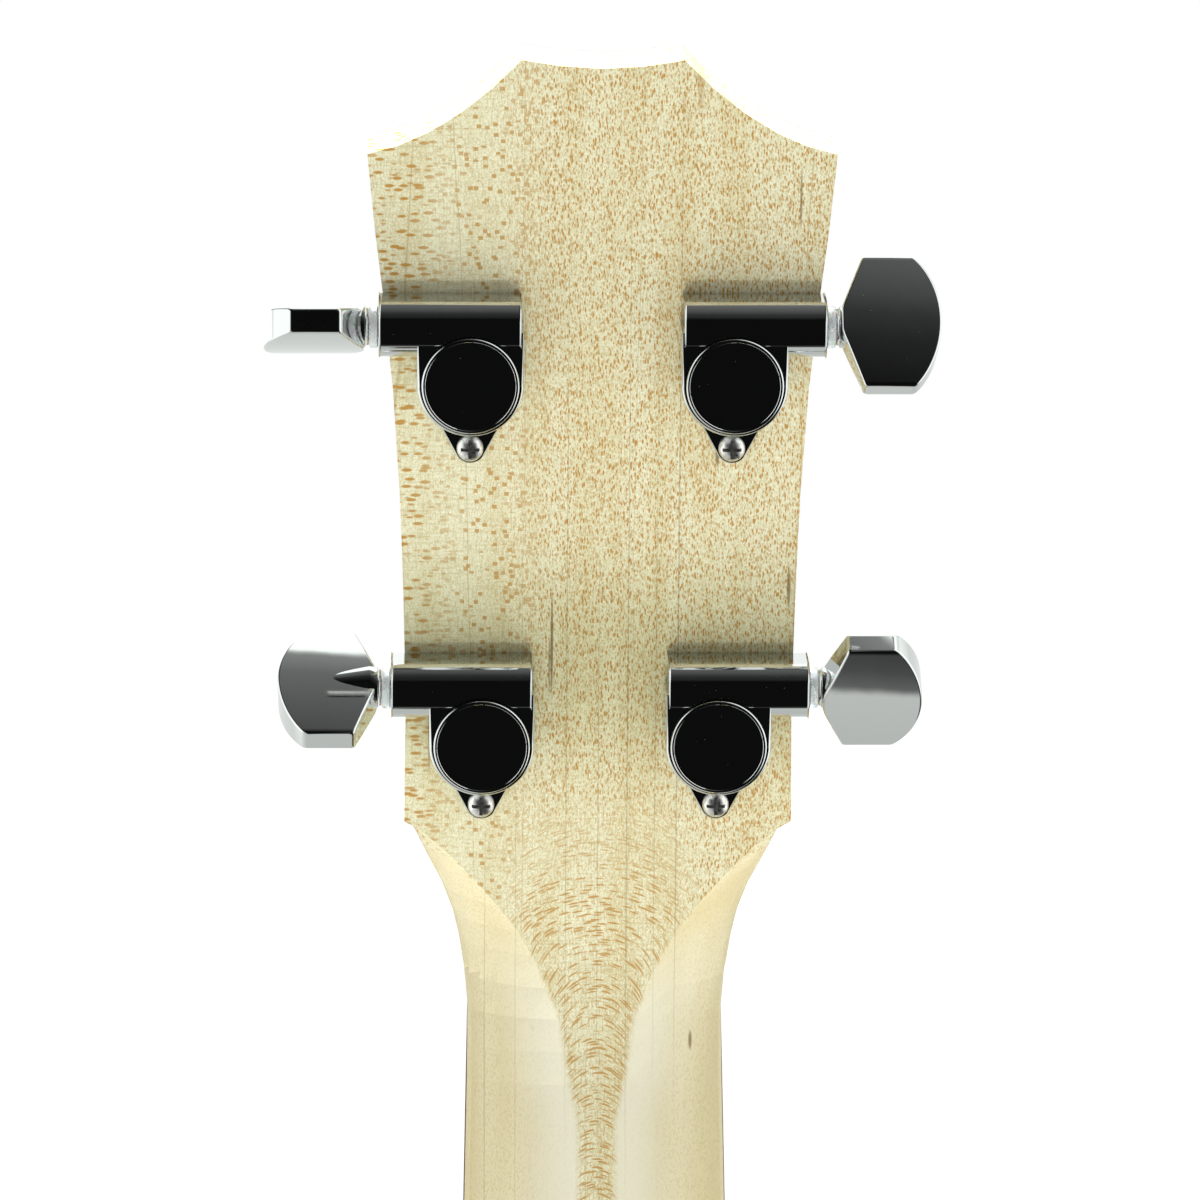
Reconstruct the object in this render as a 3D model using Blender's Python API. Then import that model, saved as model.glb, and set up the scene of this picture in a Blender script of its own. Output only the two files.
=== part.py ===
"""Acoustic bass guitar with four strings and a short scale, in metres.

The guitar stands upright. +Z runs up to the head, +Y is the back of the instrument and +X its
treble side. The origin is where a wall hanger's yoke holds the neck, just under the head.
"""

import math

import bmesh
import bpy
from mathutils import Matrix, Vector

# Clearances
GAP = 0.0003
# How far a cutter reaches past what it cuts
PAST = 0.002
STRING_GAP = 0.0006
BOLT_GAP = 0.0004

# Scale and strings
SCALE_LENGTH = 0.597
FRETS = 20
BODY_FRET = 14
COMPENSATION = 0.004
NUT_SPREAD = 0.033
BRIDGE_SPREAD = 0.051
NUT_STRING_LIFT = 0.0006
SADDLE_STRING_LIFT = 0.0052
STRINGS = {
    # name: (order from the bass side, diameter, head side, tuner row, button angle)
    "e": (0, 0.00267, -1, "lower", -31.0),
    "a": (1, 0.00216, -1, "upper", 34.0),
    "d": (2, 0.00165, 1, "upper", -69.0),
    "g": (3, 0.00114, 1, "lower", -121.0),
}

# Neck and fingerboard
NUT_END_Z = -0.020
NUT_WIDTH = 0.0429
NUT_THICK = 0.0048
NUT_HEIGHT = 0.0098
NUT_FALL = 0.0022
NUT_CREST = 0.0014
NUT_ROUND = 0.0004
JOINT_WIDTH = 0.0560
FACE_Y = -0.012
NECK_DEPTH_AT_NUT = 0.0140
NECK_DEPTH_AT_HEEL = 0.0160
NECK_ROUNDNESS = 2.1
BOARD_THICK = 0.0060
BOARD_OVERHANG = 0.009
FRET_HEIGHT = 0.0012
FRET_WIDTH = 0.0026
FRET_SEAT = 0.0005

# Head
HEAD_ANGLE = math.radians(15.0)
HEAD_THICK = 0.0150
VENEER_THICK = 0.0015
HEAD_FILLET = 0.100
CORNER_V = 0.0304
# Head outline on its back plane: (distance up the head, half width)
HEAD_SIDE = (
    (0.0304, 0.0321),
    (0.0514, 0.03185),
    (0.0685, 0.0322),
    (0.0854, 0.03275),
    (0.1039, 0.0339),
    (0.1205, 0.0356),
    (0.1304, 0.0368),
    (0.1429, 0.0380),
)
PEAK_HALF = 0.0131
PEAK_V = 0.1583
TOP_MIDDLE_V = 0.1569
SHOULDER_SAG = 0.0027
# Flare from the neck to the head: (distance up the head, half width, half width of the flat)
FLARE = (
    (-0.0200, 0.02160, 0.0024),
    (-0.0160, 0.02158, 0.0040),
    (-0.0100, 0.02150, 0.0054),
    (-0.0040, 0.02145, 0.0063),
    (0.0010, 0.02200, 0.0080),
    (0.0058, 0.02270, 0.0102),
    (0.0107, 0.02390, 0.0128),
    (0.0158, 0.02580, 0.0166),
    (0.0210, 0.02845, 0.0211),
    (0.0262, 0.03090, 0.0262),
    (0.0290, 0.03175, 0.0296),
)

# Heel
HEEL_LENGTH = 0.061
HEEL_CAP_LENGTH = 0.013
HEEL_CAP_HALF = 0.0115
HEEL_POINT = 1.2

# Body
BODY_LENGTH = 0.4477
LOWER_BOUT = 0.365
WAIST = 0.220
UPPER_BOUT = 0.260
# Where the body's widths lie, as shares of its length from the neck joint
UPPER_BOUT_AT = 0.195
WAIST_AT = 0.425
LOWER_BOUT_AT = 0.735
DEPTH_AT_NECK = 0.092
DEPTH_AT_TAIL = 0.108
BACK_DOME_RADIUS = 3.5
TOP_THICK = 0.003
BACK_THICK = 0.003
SIDE_THICK = 0.0025
SOUNDHOLE_RADIUS = 0.048
SOUNDHOLE_FROM_JOINT = 0.137
NECK_BLOCK_WIDTH = 0.070
NECK_BLOCK_LENGTH = 0.032
TAIL_BLOCK_WIDTH = 0.080
TAIL_BLOCK_LENGTH = 0.016
BRACE_WIDTH = 0.008
BRACE_HEIGHT = 0.015
BRACE_END = 0.004
X_ABOVE_PINS = 0.075
X_BRACE_LEAN = 50.0
X_BRACE_UP = 0.135
X_BRACE_DOWN = 0.200
TRANSVERSE_FROM_JOINT = 0.069
TRANSVERSE_HALF = 0.110
BACK_BRACES = ((0.120, 0.112), (0.320, 0.165))

# Bridge
BRIDGE_WIDTH = 0.130
BRIDGE_LENGTH = 0.032
BRIDGE_THICK = 0.0092
SADDLE_THICK = 0.003
SADDLE_WIDTH = 0.072
SADDLE_SEAT = 0.005
SADDLE_FROM_EDGE = 0.0085
PIN_BEHIND_SADDLE = 0.0140
PIN_RADIUS = 0.0026
PIN_TIP_RADIUS = 0.0022
PIN_HEAD_RADIUS = 0.0040
PIN_HEAD_HEIGHT = 0.0035
PIN_LENGTH = 0.024
PLATE_THICK = 0.0025
PLATE_ABOVE_PINS = 0.022
PLATE_BELOW_PINS = 0.014
PLATE_TOP_HALF = 0.046
PLATE_LOW_HALF = 0.064
RAMP_REACH = 0.0032
RAMP_DEPTH = 0.003

# Truss rod
ROD_WIDTH = 0.0060
ROD_DEPTH = 0.0090
ROD_TOP_GAP = 0.0010
CHANNEL_HALF = 0.0046
CHANNEL_TOP_Z = 0.010
TRUSS_NUT_RADIUS = 0.0038
TRUSS_NUT_LENGTH = 0.0065
SPINDLE_RADIUS = 0.0022
COVER_PLATE_THICK = 0.0018
COVER_PLATE_BASE_V = 0.0030
COVER_PLATE_TOP_V = 0.0460
COVER_PLATE_WIDE = 0.0115
COVER_PLATE_NARROW = 0.0040

# Tuners, each in its own frame: x outwards along the worm, y up the head, z out of the front
TUNER_X = {"upper": 0.02135, "lower": 0.0194}
TUNER_V = {"upper": 0.10685, "lower": 0.04625}
BOWL_RADIUS = 0.0086
BOWL_HEIGHT = 0.0096
BASE_THICK = 0.0012
CAVITY_RADIUS = 0.0073
COVER_RADIUS = 0.0079
COVER_THICK = 0.0009
COVER_PLUG = 0.0010
COVER_RIM = 0.0006
TUBE_HALF = 0.0045
TUBE_CHAMFER = 0.0024
TUBE_RISE = 0.00004
TUBE_OUTER_X = 0.0148
TUBE_INNER_X = 0.0082
TUBE_END_WALL = 0.0010
WORM_HEIGHT = 0.0052
EAR_THICK = 0.0015
EAR_RADIUS = 0.0026
SCREW_Y = -0.0123
SCREW_RADIUS = 0.0012
SCREW_HEAD_RADIUS = 0.0022
SCREW_HEAD_HEIGHT = 0.0016
SCREW_LENGTH = 0.0105
TEETH = 16
GEAR_MODULE = 0.00077
CENTRE_DISTANCE = 0.0087
GEAR_TIP_RADIUS = 0.0067
GEAR_ROOT_RADIUS = 0.00533
GEAR_TIP_HALF = 0.0003
GEAR_ROOT_HALF = 0.0006
GEAR_FACE = 0.0030
WORM_PITCH_RADIUS = 0.00254
WORM_TIP_RADIUS = 0.0030
WORM_ROOT_RADIUS = 0.0017
WORM_TIP_HALF = 0.00032
WORM_ROOT_HALF = 0.00082
WORM_THREAD_LENGTH = 0.0088
WORM_BORE_RADIUS = 0.0032
WORM_JOURNAL_RADIUS = 0.0029
STEM_RADIUS = 0.0019
STEM_REACH = 0.0240
BUTTON_START = 0.0172
BUTTON_LENGTH = 0.0162
BUTTON_HALF_HEIGHT = 0.0113
BUTTON_EDGE_THICK = 0.0039
BUTTON_SWELL = 0.0012
BUTTON_OFFSET = 0.0007
BUTTON_BASE_HALF = 0.0020
BUTTON_SHOULDER_X = 0.0036
BUTTON_EDGE_END_X = 0.0116
BUTTON_BOSS_RADIUS = 0.0035
BUTTON_BOSS_TIP_RADIUS = 0.0022
BUTTON_BOSS_LENGTH = 0.0085
BUTTON_ROUND = 0.0004
POST_RADIUS = 0.0040
POST_WAIST_RADIUS = 0.0037
POST_TOP_RADIUS = 0.0043
POST_ABOVE_FACE = 0.0195
BUSHING_RADIUS = 0.0052
BUSHING_FLANGE_RADIUS = 0.0070
BUSHING_FLANGE_THICK = 0.0015
BUSHING_DEPTH = 0.0100
WRAP_START = 0.0024
WRAPS = {"e": 1.75, "a": 2.0, "d": 2.25, "g": 2.5}
WRAP_POINTS = 24
BEND_POINTS = 7
TAIL_PAST_POST = 0.0022
STRING_BEND = 0.0030
STRING_END_REACH = 0.0030

# Strap button and heel bolts
STRAP_BUTTON_RADIUS = 0.0075
STRAP_BUTTON_WAIST = 0.0042
STRAP_BUTTON_LENGTH = 0.014
STRAP_SCREW_RADIUS = 0.0018
STRAP_SCREW_LENGTH = 0.014
STRAP_Y = 0.040
BOLT_RADIUS = 0.0030
BOLT_HEAD_RADIUS = 0.0055
BOLT_HEAD_HEIGHT = 0.0040
BOLT_Y = (0.008, 0.038)
BOLT_IN_HEEL = (0.016, 0.010)

# Worked out from the sizes above
PIVOT_Z = NUT_END_Z + NUT_THICK
HEAD_UP = Vector((0.0, math.sin(HEAD_ANGLE), math.cos(HEAD_ANGLE)))
HEAD_BACK = Vector((0.0, math.cos(HEAD_ANGLE), -math.sin(HEAD_ANGLE)))
PIVOT = Vector((0.0, FACE_Y, PIVOT_Z))
JOINT_Z = NUT_END_Z - SCALE_LENGTH * (1.0 - 2.0 ** (-BODY_FRET / 12.0))
LAST_FRET_Z = NUT_END_Z - SCALE_LENGTH * (1.0 - 2.0 ** (-FRETS / 12.0))
BOARD_END_Z = LAST_FRET_Z - BOARD_OVERHANG
SADDLE_Z = NUT_END_Z - SCALE_LENGTH - COMPENSATION
TAIL_Z = JOINT_Z - BODY_LENGTH
HOLE_Z = JOINT_Z - SOUNDHOLE_FROM_JOINT
PIN_Z = SADDLE_Z - PIN_BEHIND_SADDLE
BOARD_FRONT_Y = FACE_Y - GAP - BOARD_THICK
FRET_TOP_Y = BOARD_FRONT_Y - FRET_HEIGHT
TOP_INNER_Y = FACE_Y + TOP_THICK
WORM_LEAD = math.pi * GEAR_MODULE


def material(name, colour, roughness, metallic=0.0):
    """A plain Principled material of this colour, made once."""
    made = bpy.data.materials.get(name)
    if made:
        return made
    made = bpy.data.materials.new(name)
    made.use_nodes = True
    shader = made.node_tree.nodes["Principled BSDF"]
    shader.inputs["Base Color"].default_value = (*colour, 1.0)
    shader.inputs["Roughness"].default_value = roughness
    shader.inputs["Metallic"].default_value = metallic
    return made


def maple():
    return material("pale_maple", (0.78, 0.64, 0.44), 0.5)


def spruce():
    return material("spruce", (0.80, 0.62, 0.38), 0.5)


def brace_wood():
    return material("brace_spruce", (0.72, 0.57, 0.37), 0.7)


def dark_wood():
    return material("rosewood", (0.07, 0.04, 0.028), 0.45)


def bone():
    return material("bone", (0.86, 0.82, 0.71), 0.35)


def chrome():
    return material("chrome", (0.80, 0.80, 0.81), 0.08, 1.0)


def steel():
    return material("steel", (0.55, 0.55, 0.56), 0.3, 1.0)


def black_plastic():
    return material("black_plastic", (0.02, 0.02, 0.022), 0.35)


def bronze():
    return material("bronze_winding", (0.62, 0.42, 0.22), 0.3, 1.0)


def add_object(name, mesh, finish, parent=None):
    """Puts a mesh in the scene, with its normals outwards, smooth except at its edges."""
    work = bmesh.new()
    work.from_mesh(mesh)
    bmesh.ops.remove_doubles(work, verts=work.verts, dist=1e-7)
    bmesh.ops.dissolve_degenerate(work, dist=1e-7, edges=work.edges)
    bmesh.ops.recalc_face_normals(work, faces=work.faces)
    work.to_mesh(mesh)
    work.free()
    mesh.shade_smooth()
    mesh.set_sharp_from_angle(angle=math.radians(35.0))
    piece = bpy.data.objects.new(name, mesh)
    if finish:
        mesh.materials.append(finish)
    bpy.context.scene.collection.objects.link(piece)
    piece.parent = parent
    return piece


def loft(name, rings, finish, parent=None):
    """A closed solid through rings of equal length, with a flat cap on each end."""
    mesh = bpy.data.meshes.new(name)
    count = len(rings[0])
    points = [point for ring in rings for point in ring]
    faces = [tuple(range(count))[::-1]]
    for row in range(len(rings) - 1):
        for column in range(count):
            after = (column + 1) % count
            faces.append((
                row * count + column,
                row * count + after,
                (row + 1) * count + after,
                (row + 1) * count + column,
            ))
    faces.append(tuple(range((len(rings) - 1) * count, len(rings) * count)))
    mesh.from_pydata([tuple(point) for point in points], [], faces)
    return add_object(name, mesh, finish, parent)


def prism(name, outline, place, start, end, finish, parent=None):
    """An outline of (a, b) points, pushed from start to end; place(a, b, depth) gives a point."""
    rings = [[place(a, b, depth) for a, b in outline] for depth in (start, end)]
    return loft(name, rings, finish, parent)


def turned(name, profile, finish, axis="Z", steps=24, origin=(0, 0, 0), parent=None):
    """A turned solid. The profile lists (distance along the axis, radius) from end to end."""
    turn = {
        "X": lambda along, a, b: (along, a, b),
        "Y": lambda along, a, b: (b, along, a),
        "Z": lambda along, a, b: (a, b, along),
    }[axis]
    base = Vector(origin)
    rings = []
    for along, radius in profile:
        ring = []
        for step in range(steps):
            angle = 2.0 * math.pi * step / steps
            offset = turn(along, radius * math.cos(angle), radius * math.sin(angle))
            ring.append(base + Vector(offset))
        rings.append(ring)
    return loft(name, rings, finish, parent)


def ring_of(name, profile, finish, axis="Z", steps=24, origin=(0, 0, 0), parent=None):
    """A turned solid with a bore: the profile is a closed loop of (along, radius)."""
    mesh = bpy.data.meshes.new(name)
    base = Vector(origin)
    points = []
    for step in range(steps):
        angle = 2.0 * math.pi * step / steps
        for along, radius in profile:
            across = radius * math.cos(angle)
            up = radius * math.sin(angle)
            offset = (across, up, along) if axis == "Z" else (along, across, up)
            points.append(tuple(base + Vector(offset)))
    count = len(profile)
    faces = []
    for step in range(steps):
        following = (step + 1) % steps
        for index in range(count):
            after = (index + 1) % count
            faces.append((
                step * count + index,
                following * count + index,
                following * count + after,
                step * count + after,
            ))
    mesh.from_pydata(points, [], faces)
    return add_object(name, mesh, finish, parent)


def block(name, low, high, finish, parent=None):
    """A box between two corners."""
    outline = [(low[0], low[1]), (high[0], low[1]), (high[0], high[1]), (low[0], high[1])]
    return prism(name, outline, lambda a, b, c: (a, b, c), low[2], high[2], finish, parent)


def helper(piece):
    """Marks a cutter, which is never drawn."""
    piece.hide_render = True
    piece.display_type = "WIRE"
    return piece


def combine(piece, other, operation="DIFFERENCE"):
    """Cuts the other shape from the piece, or joins it on."""
    change = piece.modifiers.new(other.name, "BOOLEAN")
    change.operation = operation
    change.object = helper(other)
    return piece


def between(table, along, column):
    """The value in a column of a table at this distance, straight between its rows."""
    if along <= table[0][0]:
        return table[0][column]
    for first, second in zip(table, table[1:]):
        if along <= second[0]:
            share = (along - first[0]) / (second[0] - first[0])
            return first[column] + share * (second[column] - first[column])
    return table[-1][column]


def on_head(x, up, back):
    """A point given across, up the head, and back from the head's front face."""
    return PIVOT + Vector((x, 0.0, 0.0)) + HEAD_UP * up + HEAD_BACK * back


def clear_scene():
    for old in list(bpy.data.objects):
        bpy.data.objects.remove(old, do_unlink=True)


def joined(name, pieces):
    """One helper mesh from several that stand apart, such as a row of cutters."""
    work = bmesh.new()
    for piece in pieces:
        copy = piece.data.copy()
        copy.transform(piece.matrix_basis)
        work.from_mesh(copy)
        bpy.data.meshes.remove(copy)
        bpy.data.objects.remove(piece, do_unlink=True)
    mesh = bpy.data.meshes.new(name)
    work.to_mesh(mesh)
    work.free()
    made = bpy.data.objects.new(name, mesh)
    bpy.context.scene.collection.objects.link(made)
    return made


# Neck and head

PEAK_SHARE = PEAK_HALF / HEAD_SIDE[-1][1]
SHOULDER_STEPS = 3
EDGE_STEPS = 5
SIDE_STEPS = 5


def neck_half(z):
    """Half the width of the neck and of its fingerboard at this height."""
    share = (NUT_END_Z - z) / (NUT_END_Z - JOINT_Z)
    return (NUT_WIDTH + (JOINT_WIDTH - NUT_WIDTH) * share) / 2.0


def across_shares():
    """The columns of a section, as shares of its half width: one lies on each peak of the head."""
    right = [PEAK_SHARE + (1.0 - PEAK_SHARE) * k / SHOULDER_STEPS for k in range(SHOULDER_STEPS + 1)]
    return [-share for share in reversed(right)] + [0.0] + right


def head_top(x):
    """How far up the head its top edge lies: two peaks with a hollow between, and hollow shoulders."""
    reach = abs(x)
    corner_v, corner_half = HEAD_SIDE[-1]
    if reach <= PEAK_HALF:
        return TOP_MIDDLE_V + (PEAK_V - TOP_MIDDLE_V) * (reach / PEAK_HALF) ** 2
    share = min((reach - PEAK_HALF) / (corner_half - PEAK_HALF), 1.0)
    straight = PEAK_V + (corner_v - PEAK_V) * share
    return straight - SHOULDER_SAG * 4.0 * share * (1.0 - share)


def side_curve(half, flat, roundness, cut=0.0):
    """(x, share of the depth) from the front edge, at the share cut, to the edge of the flat back, which is left out."""
    curve = []
    for step in range(SIDE_STEPS):
        share = step / SIDE_STEPS
        if flat >= half:
            curve.append((half, cut + (1.0 - cut) * share))
            continue
        first = math.asin(min((flat / half) ** (roundness / 2.0), 0.999))
        start = math.acos(math.cos(first) * cut ** (roundness / 2.0))
        angle = start + (first - start) * share
        x = half * math.sin(angle) ** (2.0 / roundness)
        curve.append((x, (math.cos(angle) / math.cos(first)) ** (2.0 / roundness)))
    return curve


def section(front, back, half, flat, roundness=NECK_ROUNDNESS, facing=0.0):
    """A ring round the neck: a flat front, rounded sides and a flat along the back. A facing thins the front."""
    depth = back - front
    seat = HEAD_BACK * facing
    (front_half, _), *curve = side_curve(half, flat, roundness, facing / depth.dot(HEAD_BACK))
    ring = [front + seat + Vector((share * front_half, 0.0, 0.0)) for share in across_shares()]
    ring += [front + depth * share + Vector((x, 0.0, 0.0)) for x, share in curve]
    back_half = min(flat, half)
    ring += [back + Vector((-share * back_half, 0.0, 0.0)) for share in across_shares()]
    ring += [front + depth * share - Vector((x, 0.0, 0.0)) for x, share in reversed(curve)]
    return ring


def neck_back_y(z):
    """The line of the neck's back, between the head's fillet and the heel."""
    share = (NUT_END_Z - z) / (NUT_END_Z - JOINT_Z)
    return FACE_Y + NECK_DEPTH_AT_NUT + (NECK_DEPTH_AT_HEEL - NECK_DEPTH_AT_NUT) * share


def seen_v(z):
    """How far up the head's back plane a point at this height appears from straight behind."""
    return (z - PIVOT_Z + HEAD_THICK * math.sin(HEAD_ANGLE)) / math.cos(HEAD_ANGLE)


def heel_rings():
    """Sections from the body joint up to where the heel runs out in the neck."""
    start_z = JOINT_Z + HEEL_LENGTH
    cap_z = JOINT_Z + HEEL_CAP_LENGTH
    cap_y = back_y(0.0, JOINT_Z) - BACK_THICK
    neck_flat = FLARE[0][2]
    rings = []
    for share in (None, 1.0, 0.985, 0.94, 0.86, 0.74, 0.58, 0.4, 0.2, 0.0):
        z = JOINT_Z + GAP if share is None else start_z + (cap_z - start_z) * share
        fall = 1.0 - math.sqrt(1.0 - (share or 0.0) ** 2) if share is not None else 1.0
        back = neck_back_y(z) + (cap_y - neck_back_y(z)) * fall
        flat = neck_flat + (HEEL_CAP_HALF - neck_flat) * fall
        roundness = NECK_ROUNDNESS + (HEEL_POINT - NECK_ROUNDNESS) * math.sqrt(fall)
        front_point = Vector((0.0, FACE_Y, z))
        rings.append(section(front_point, Vector((0.0, back, z)), neck_half(z), flat, roundness))
    return rings


def fillet_rings():
    """Sections along the hollow curve that joins the neck's back to the head's back plane."""
    start_y = FACE_Y + NECK_DEPTH_AT_NUT
    rise = HEAD_FILLET * (1.0 - math.cos(HEAD_ANGLE))
    end_v = (start_y + rise - FACE_Y - HEAD_THICK * math.cos(HEAD_ANGLE)) / math.sin(HEAD_ANGLE)
    end_z = PIVOT_Z - HEAD_THICK * math.sin(HEAD_ANGLE) + end_v * math.cos(HEAD_ANGLE)
    start_z = end_z - HEAD_FILLET * math.sin(HEAD_ANGLE)
    wood = VENEER_THICK + GAP
    step_v = VENEER_THICK
    fronts = [Vector((0.0, FACE_Y, start_z + (PIVOT_Z - start_z) * k / 3.0)) for k in range(4)]
    fronts += [on_head(0.0, step_v + (end_v - step_v) * k / 2.0, 0.0) for k in (0, 1, 2)]
    turns = (0.0, 0.21, 0.42, 0.62, 0.68, 0.84, 1.0)
    facings = (0.0, 0.0, 0.0, 0.0, wood, wood, wood)
    rings = []
    for front, turn, facing in zip(fronts, turns, facings):
        angle = HEAD_ANGLE * turn
        back = Vector((
            0.0,
            start_y + HEAD_FILLET * (1.0 - math.cos(angle)),
            start_z + HEAD_FILLET * math.sin(angle),
        ))
        along = seen_v(back.z)
        half, flat = between(FLARE, along, 1), between(FLARE, along, 2)
        rings.append(section(front, back, half, flat, facing=facing))
    return rings, end_v


def head_rings(start_v):
    """Sections square to the head, past its peaks: its top edge is cut from them."""
    wood = VENEER_THICK + GAP
    rows = [row for row in FLARE if row[0] > start_v + PAST]
    rows += [(along, half, half) for along, half in HEAD_SIDE]
    corner = HEAD_SIDE[-1][1]
    rows.append((PEAK_V + PAST, corner + GAP, corner + GAP))
    rings = []
    for along, half, flat in rows:
        rings.append(section(on_head(0, along, 0.0), on_head(0, along, HEAD_THICK), half, flat, facing=wood))
    return rings


def top_edge():
    """The head's top edge as (x, distance up the head), from its treble corner to its bass one."""
    corner = HEAD_SIDE[-1][1]
    outside = [PEAK_HALF + (corner - PEAK_HALF) * k / EDGE_STEPS for k in range(EDGE_STEPS + 1)]
    right = [PEAK_HALF / 2.0] + outside
    across = [-x for x in reversed(right)] + [0.0] + right
    return [(x, head_top(x)) for x in reversed(across)]


def make_neck():
    heel = heel_rings()
    fillet, end_v = fillet_rings()
    neck = loft("neck", heel + fillet + head_rings(end_v), maple())
    corner_v, corner = HEAD_SIDE[-1]
    reach, over = corner + PAST * 2.0, PEAK_V + PAST * 3.0
    above = [(reach, over), (reach, corner_v)] + top_edge() + [(-reach, corner_v), (-reach, over)]
    combine(neck, prism("above_head", above, on_head, -PAST, HEAD_THICK + PAST, None))
    slot = block(
        "neck_rod_slot",
        (-ROD_WIDTH / 2.0 - GAP, FACE_Y - PAST, JOINT_Z - PAST),
        (ROD_WIDTH / 2.0 + GAP, FACE_Y + ROD_TOP_GAP + ROD_DEPTH + GAP, PIVOT_Z - GAP * 1.5),
        None,
    )
    combine(neck, slot)
    channel = block(
        "neck_nut_channel",
        (-CHANNEL_HALF, FACE_Y - PAST * 3.0, PIVOT_Z - ROD_TOP_GAP),
        (CHANNEL_HALF, FACE_Y + ROD_TOP_GAP + ROD_DEPTH + GAP, CHANNEL_TOP_Z),
        None,
    )
    combine(neck, channel)
    holes = []
    for index, y in enumerate(BOLT_Y):
        profile = [(JOINT_Z - PAST, BOLT_RADIUS + BOLT_GAP)]
        profile.append((JOINT_Z + BOLT_IN_HEEL[index] + GAP, BOLT_RADIUS + BOLT_GAP))
        holes.append(turned(f"neck_bolt_hole_{index}", profile, None, steps=12, origin=(0, y, 0)))
    combine(neck, joined("neck_bolt_holes", holes))
    return neck


def make_veneer():
    """The dark facing glued on the head's front."""
    start = VENEER_THICK + ROD_TOP_GAP
    rows = [(start, 0.0)] + [row for row in FLARE if row[0] > start] + [row for row in HEAD_SIDE]
    outline = []
    for row in rows:
        half = between(FLARE, row[0], 1) if row[0] < CORNER_V else row[1]
        outline.append((half, row[0]))
    outline += top_edge()[1:-1] + [(-half, along) for half, along in reversed(outline)]
    veneer = prism("headstock_veneer", outline, on_head, 0.0, VENEER_THICK, dark_wood())
    channel = block(
        "veneer_channel",
        (-CHANNEL_HALF, FACE_Y - PAST * 3.0, PIVOT_Z - PAST * 2.0),
        (CHANNEL_HALF, FACE_Y + PAST * 10.0, CHANNEL_TOP_Z),
        None,
    )
    return combine(veneer, channel)


def fret_z(number):
    return NUT_END_Z - SCALE_LENGTH * (1.0 - 2.0 ** (-number / 12.0))


def make_fingerboard():
    """The board with its frets: each crown is rounded and its lower edge is let into the wood."""
    start = NUT_END_Z - GAP
    outline = [
        (-neck_half(start), start),
        (neck_half(start), start),
        (neck_half(BOARD_END_Z), BOARD_END_Z),
        (-neck_half(BOARD_END_Z), BOARD_END_Z),
    ]
    place = lambda a, b, depth: (a, depth, b)
    board = prism("fingerboard", outline, place, FACE_Y - GAP, BOARD_FRONT_Y, dark_wood())
    half = FRET_WIDTH / 2.0
    crown = (
        (-half, -FRET_SEAT),
        (-half, FRET_HEIGHT * 0.25),
        (-half * 0.5, FRET_HEIGHT * 0.85),
        (0.0, FRET_HEIGHT),
        (half * 0.5, FRET_HEIGHT * 0.85),
        (half, FRET_HEIGHT * 0.25),
        (half, -FRET_SEAT),
    )
    frets = []
    for number in range(1, FRETS + 1):
        z = fret_z(number)
        reach = neck_half(z) - FRET_SEAT
        cross = lambda a, b, depth, z=z: (depth, BOARD_FRONT_Y - b, z + a)
        frets.append(prism(f"fret_{number}", crown, cross, -reach, reach, None))
    return combine(board, joined("fret_wires", frets), "UNION")


# Strings: each runs in straight lines from its pin to its post

def string_x(order, spread):
    return spread * (order / (len(STRINGS) - 1) - 0.5)


def string_bottom(z):
    """The height of the strings' undersides, straight from the nut to the saddle."""
    share = (NUT_END_Z - z) / (NUT_END_Z - SADDLE_Z)
    lift = NUT_STRING_LIFT + (SADDLE_STRING_LIFT - NUT_STRING_LIFT) * share
    return FRET_TOP_Y - lift


def nut_point(name):
    """Where a string bends over the nut."""
    order, diameter = STRINGS[name][:2]
    z = NUT_END_Z + NUT_THICK * 0.3
    return Vector((string_x(order, NUT_SPREAD), string_bottom(NUT_END_Z) - diameter / 2.0, z))


def make_nut():
    half = NUT_WIDTH / 2.0
    low = FACE_Y - GAP
    outline = [
        (NUT_END_Z, low),
        (PIVOT_Z, low),
        (PIVOT_Z, low - NUT_HEIGHT + NUT_FALL),
        (PIVOT_Z - NUT_CREST - NUT_ROUND, low - NUT_HEIGHT + NUT_ROUND),
        (PIVOT_Z - 2.0 * NUT_CREST - NUT_ROUND, low - NUT_HEIGHT),
        (NUT_END_Z, low - NUT_HEIGHT),
    ]
    nut = prism("nut", outline, lambda a, b, depth: (depth, b, a), -half, half, bone())
    slots = []
    for name, (order, diameter, side, row, angle) in STRINGS.items():
        top = nut_point(name)
        bed = diameter / 2.0 + GAP
        reach = diameter / 2.0 + GAP
        slope = winding_start(name) - top
        drop = slope.y / slope.z
        shape = [
            (NUT_END_Z - PAST, top.y + bed),
            (top.z, top.y + bed * 1.05),
            (PIVOT_Z + PAST, top.y + bed * 1.08 + drop * (PIVOT_Z + PAST - top.z)),
            (PIVOT_Z + PAST, low - NUT_HEIGHT - PAST),
            (NUT_END_Z - PAST, low - NUT_HEIGHT - PAST),
        ]
        place = lambda a, b, depth: (depth, b, a)
        slots.append(prism(f"slot_{name}", shape, place, top.x - reach, top.x + reach, None))
    return combine(nut, joined("nut_slots", slots))


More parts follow.
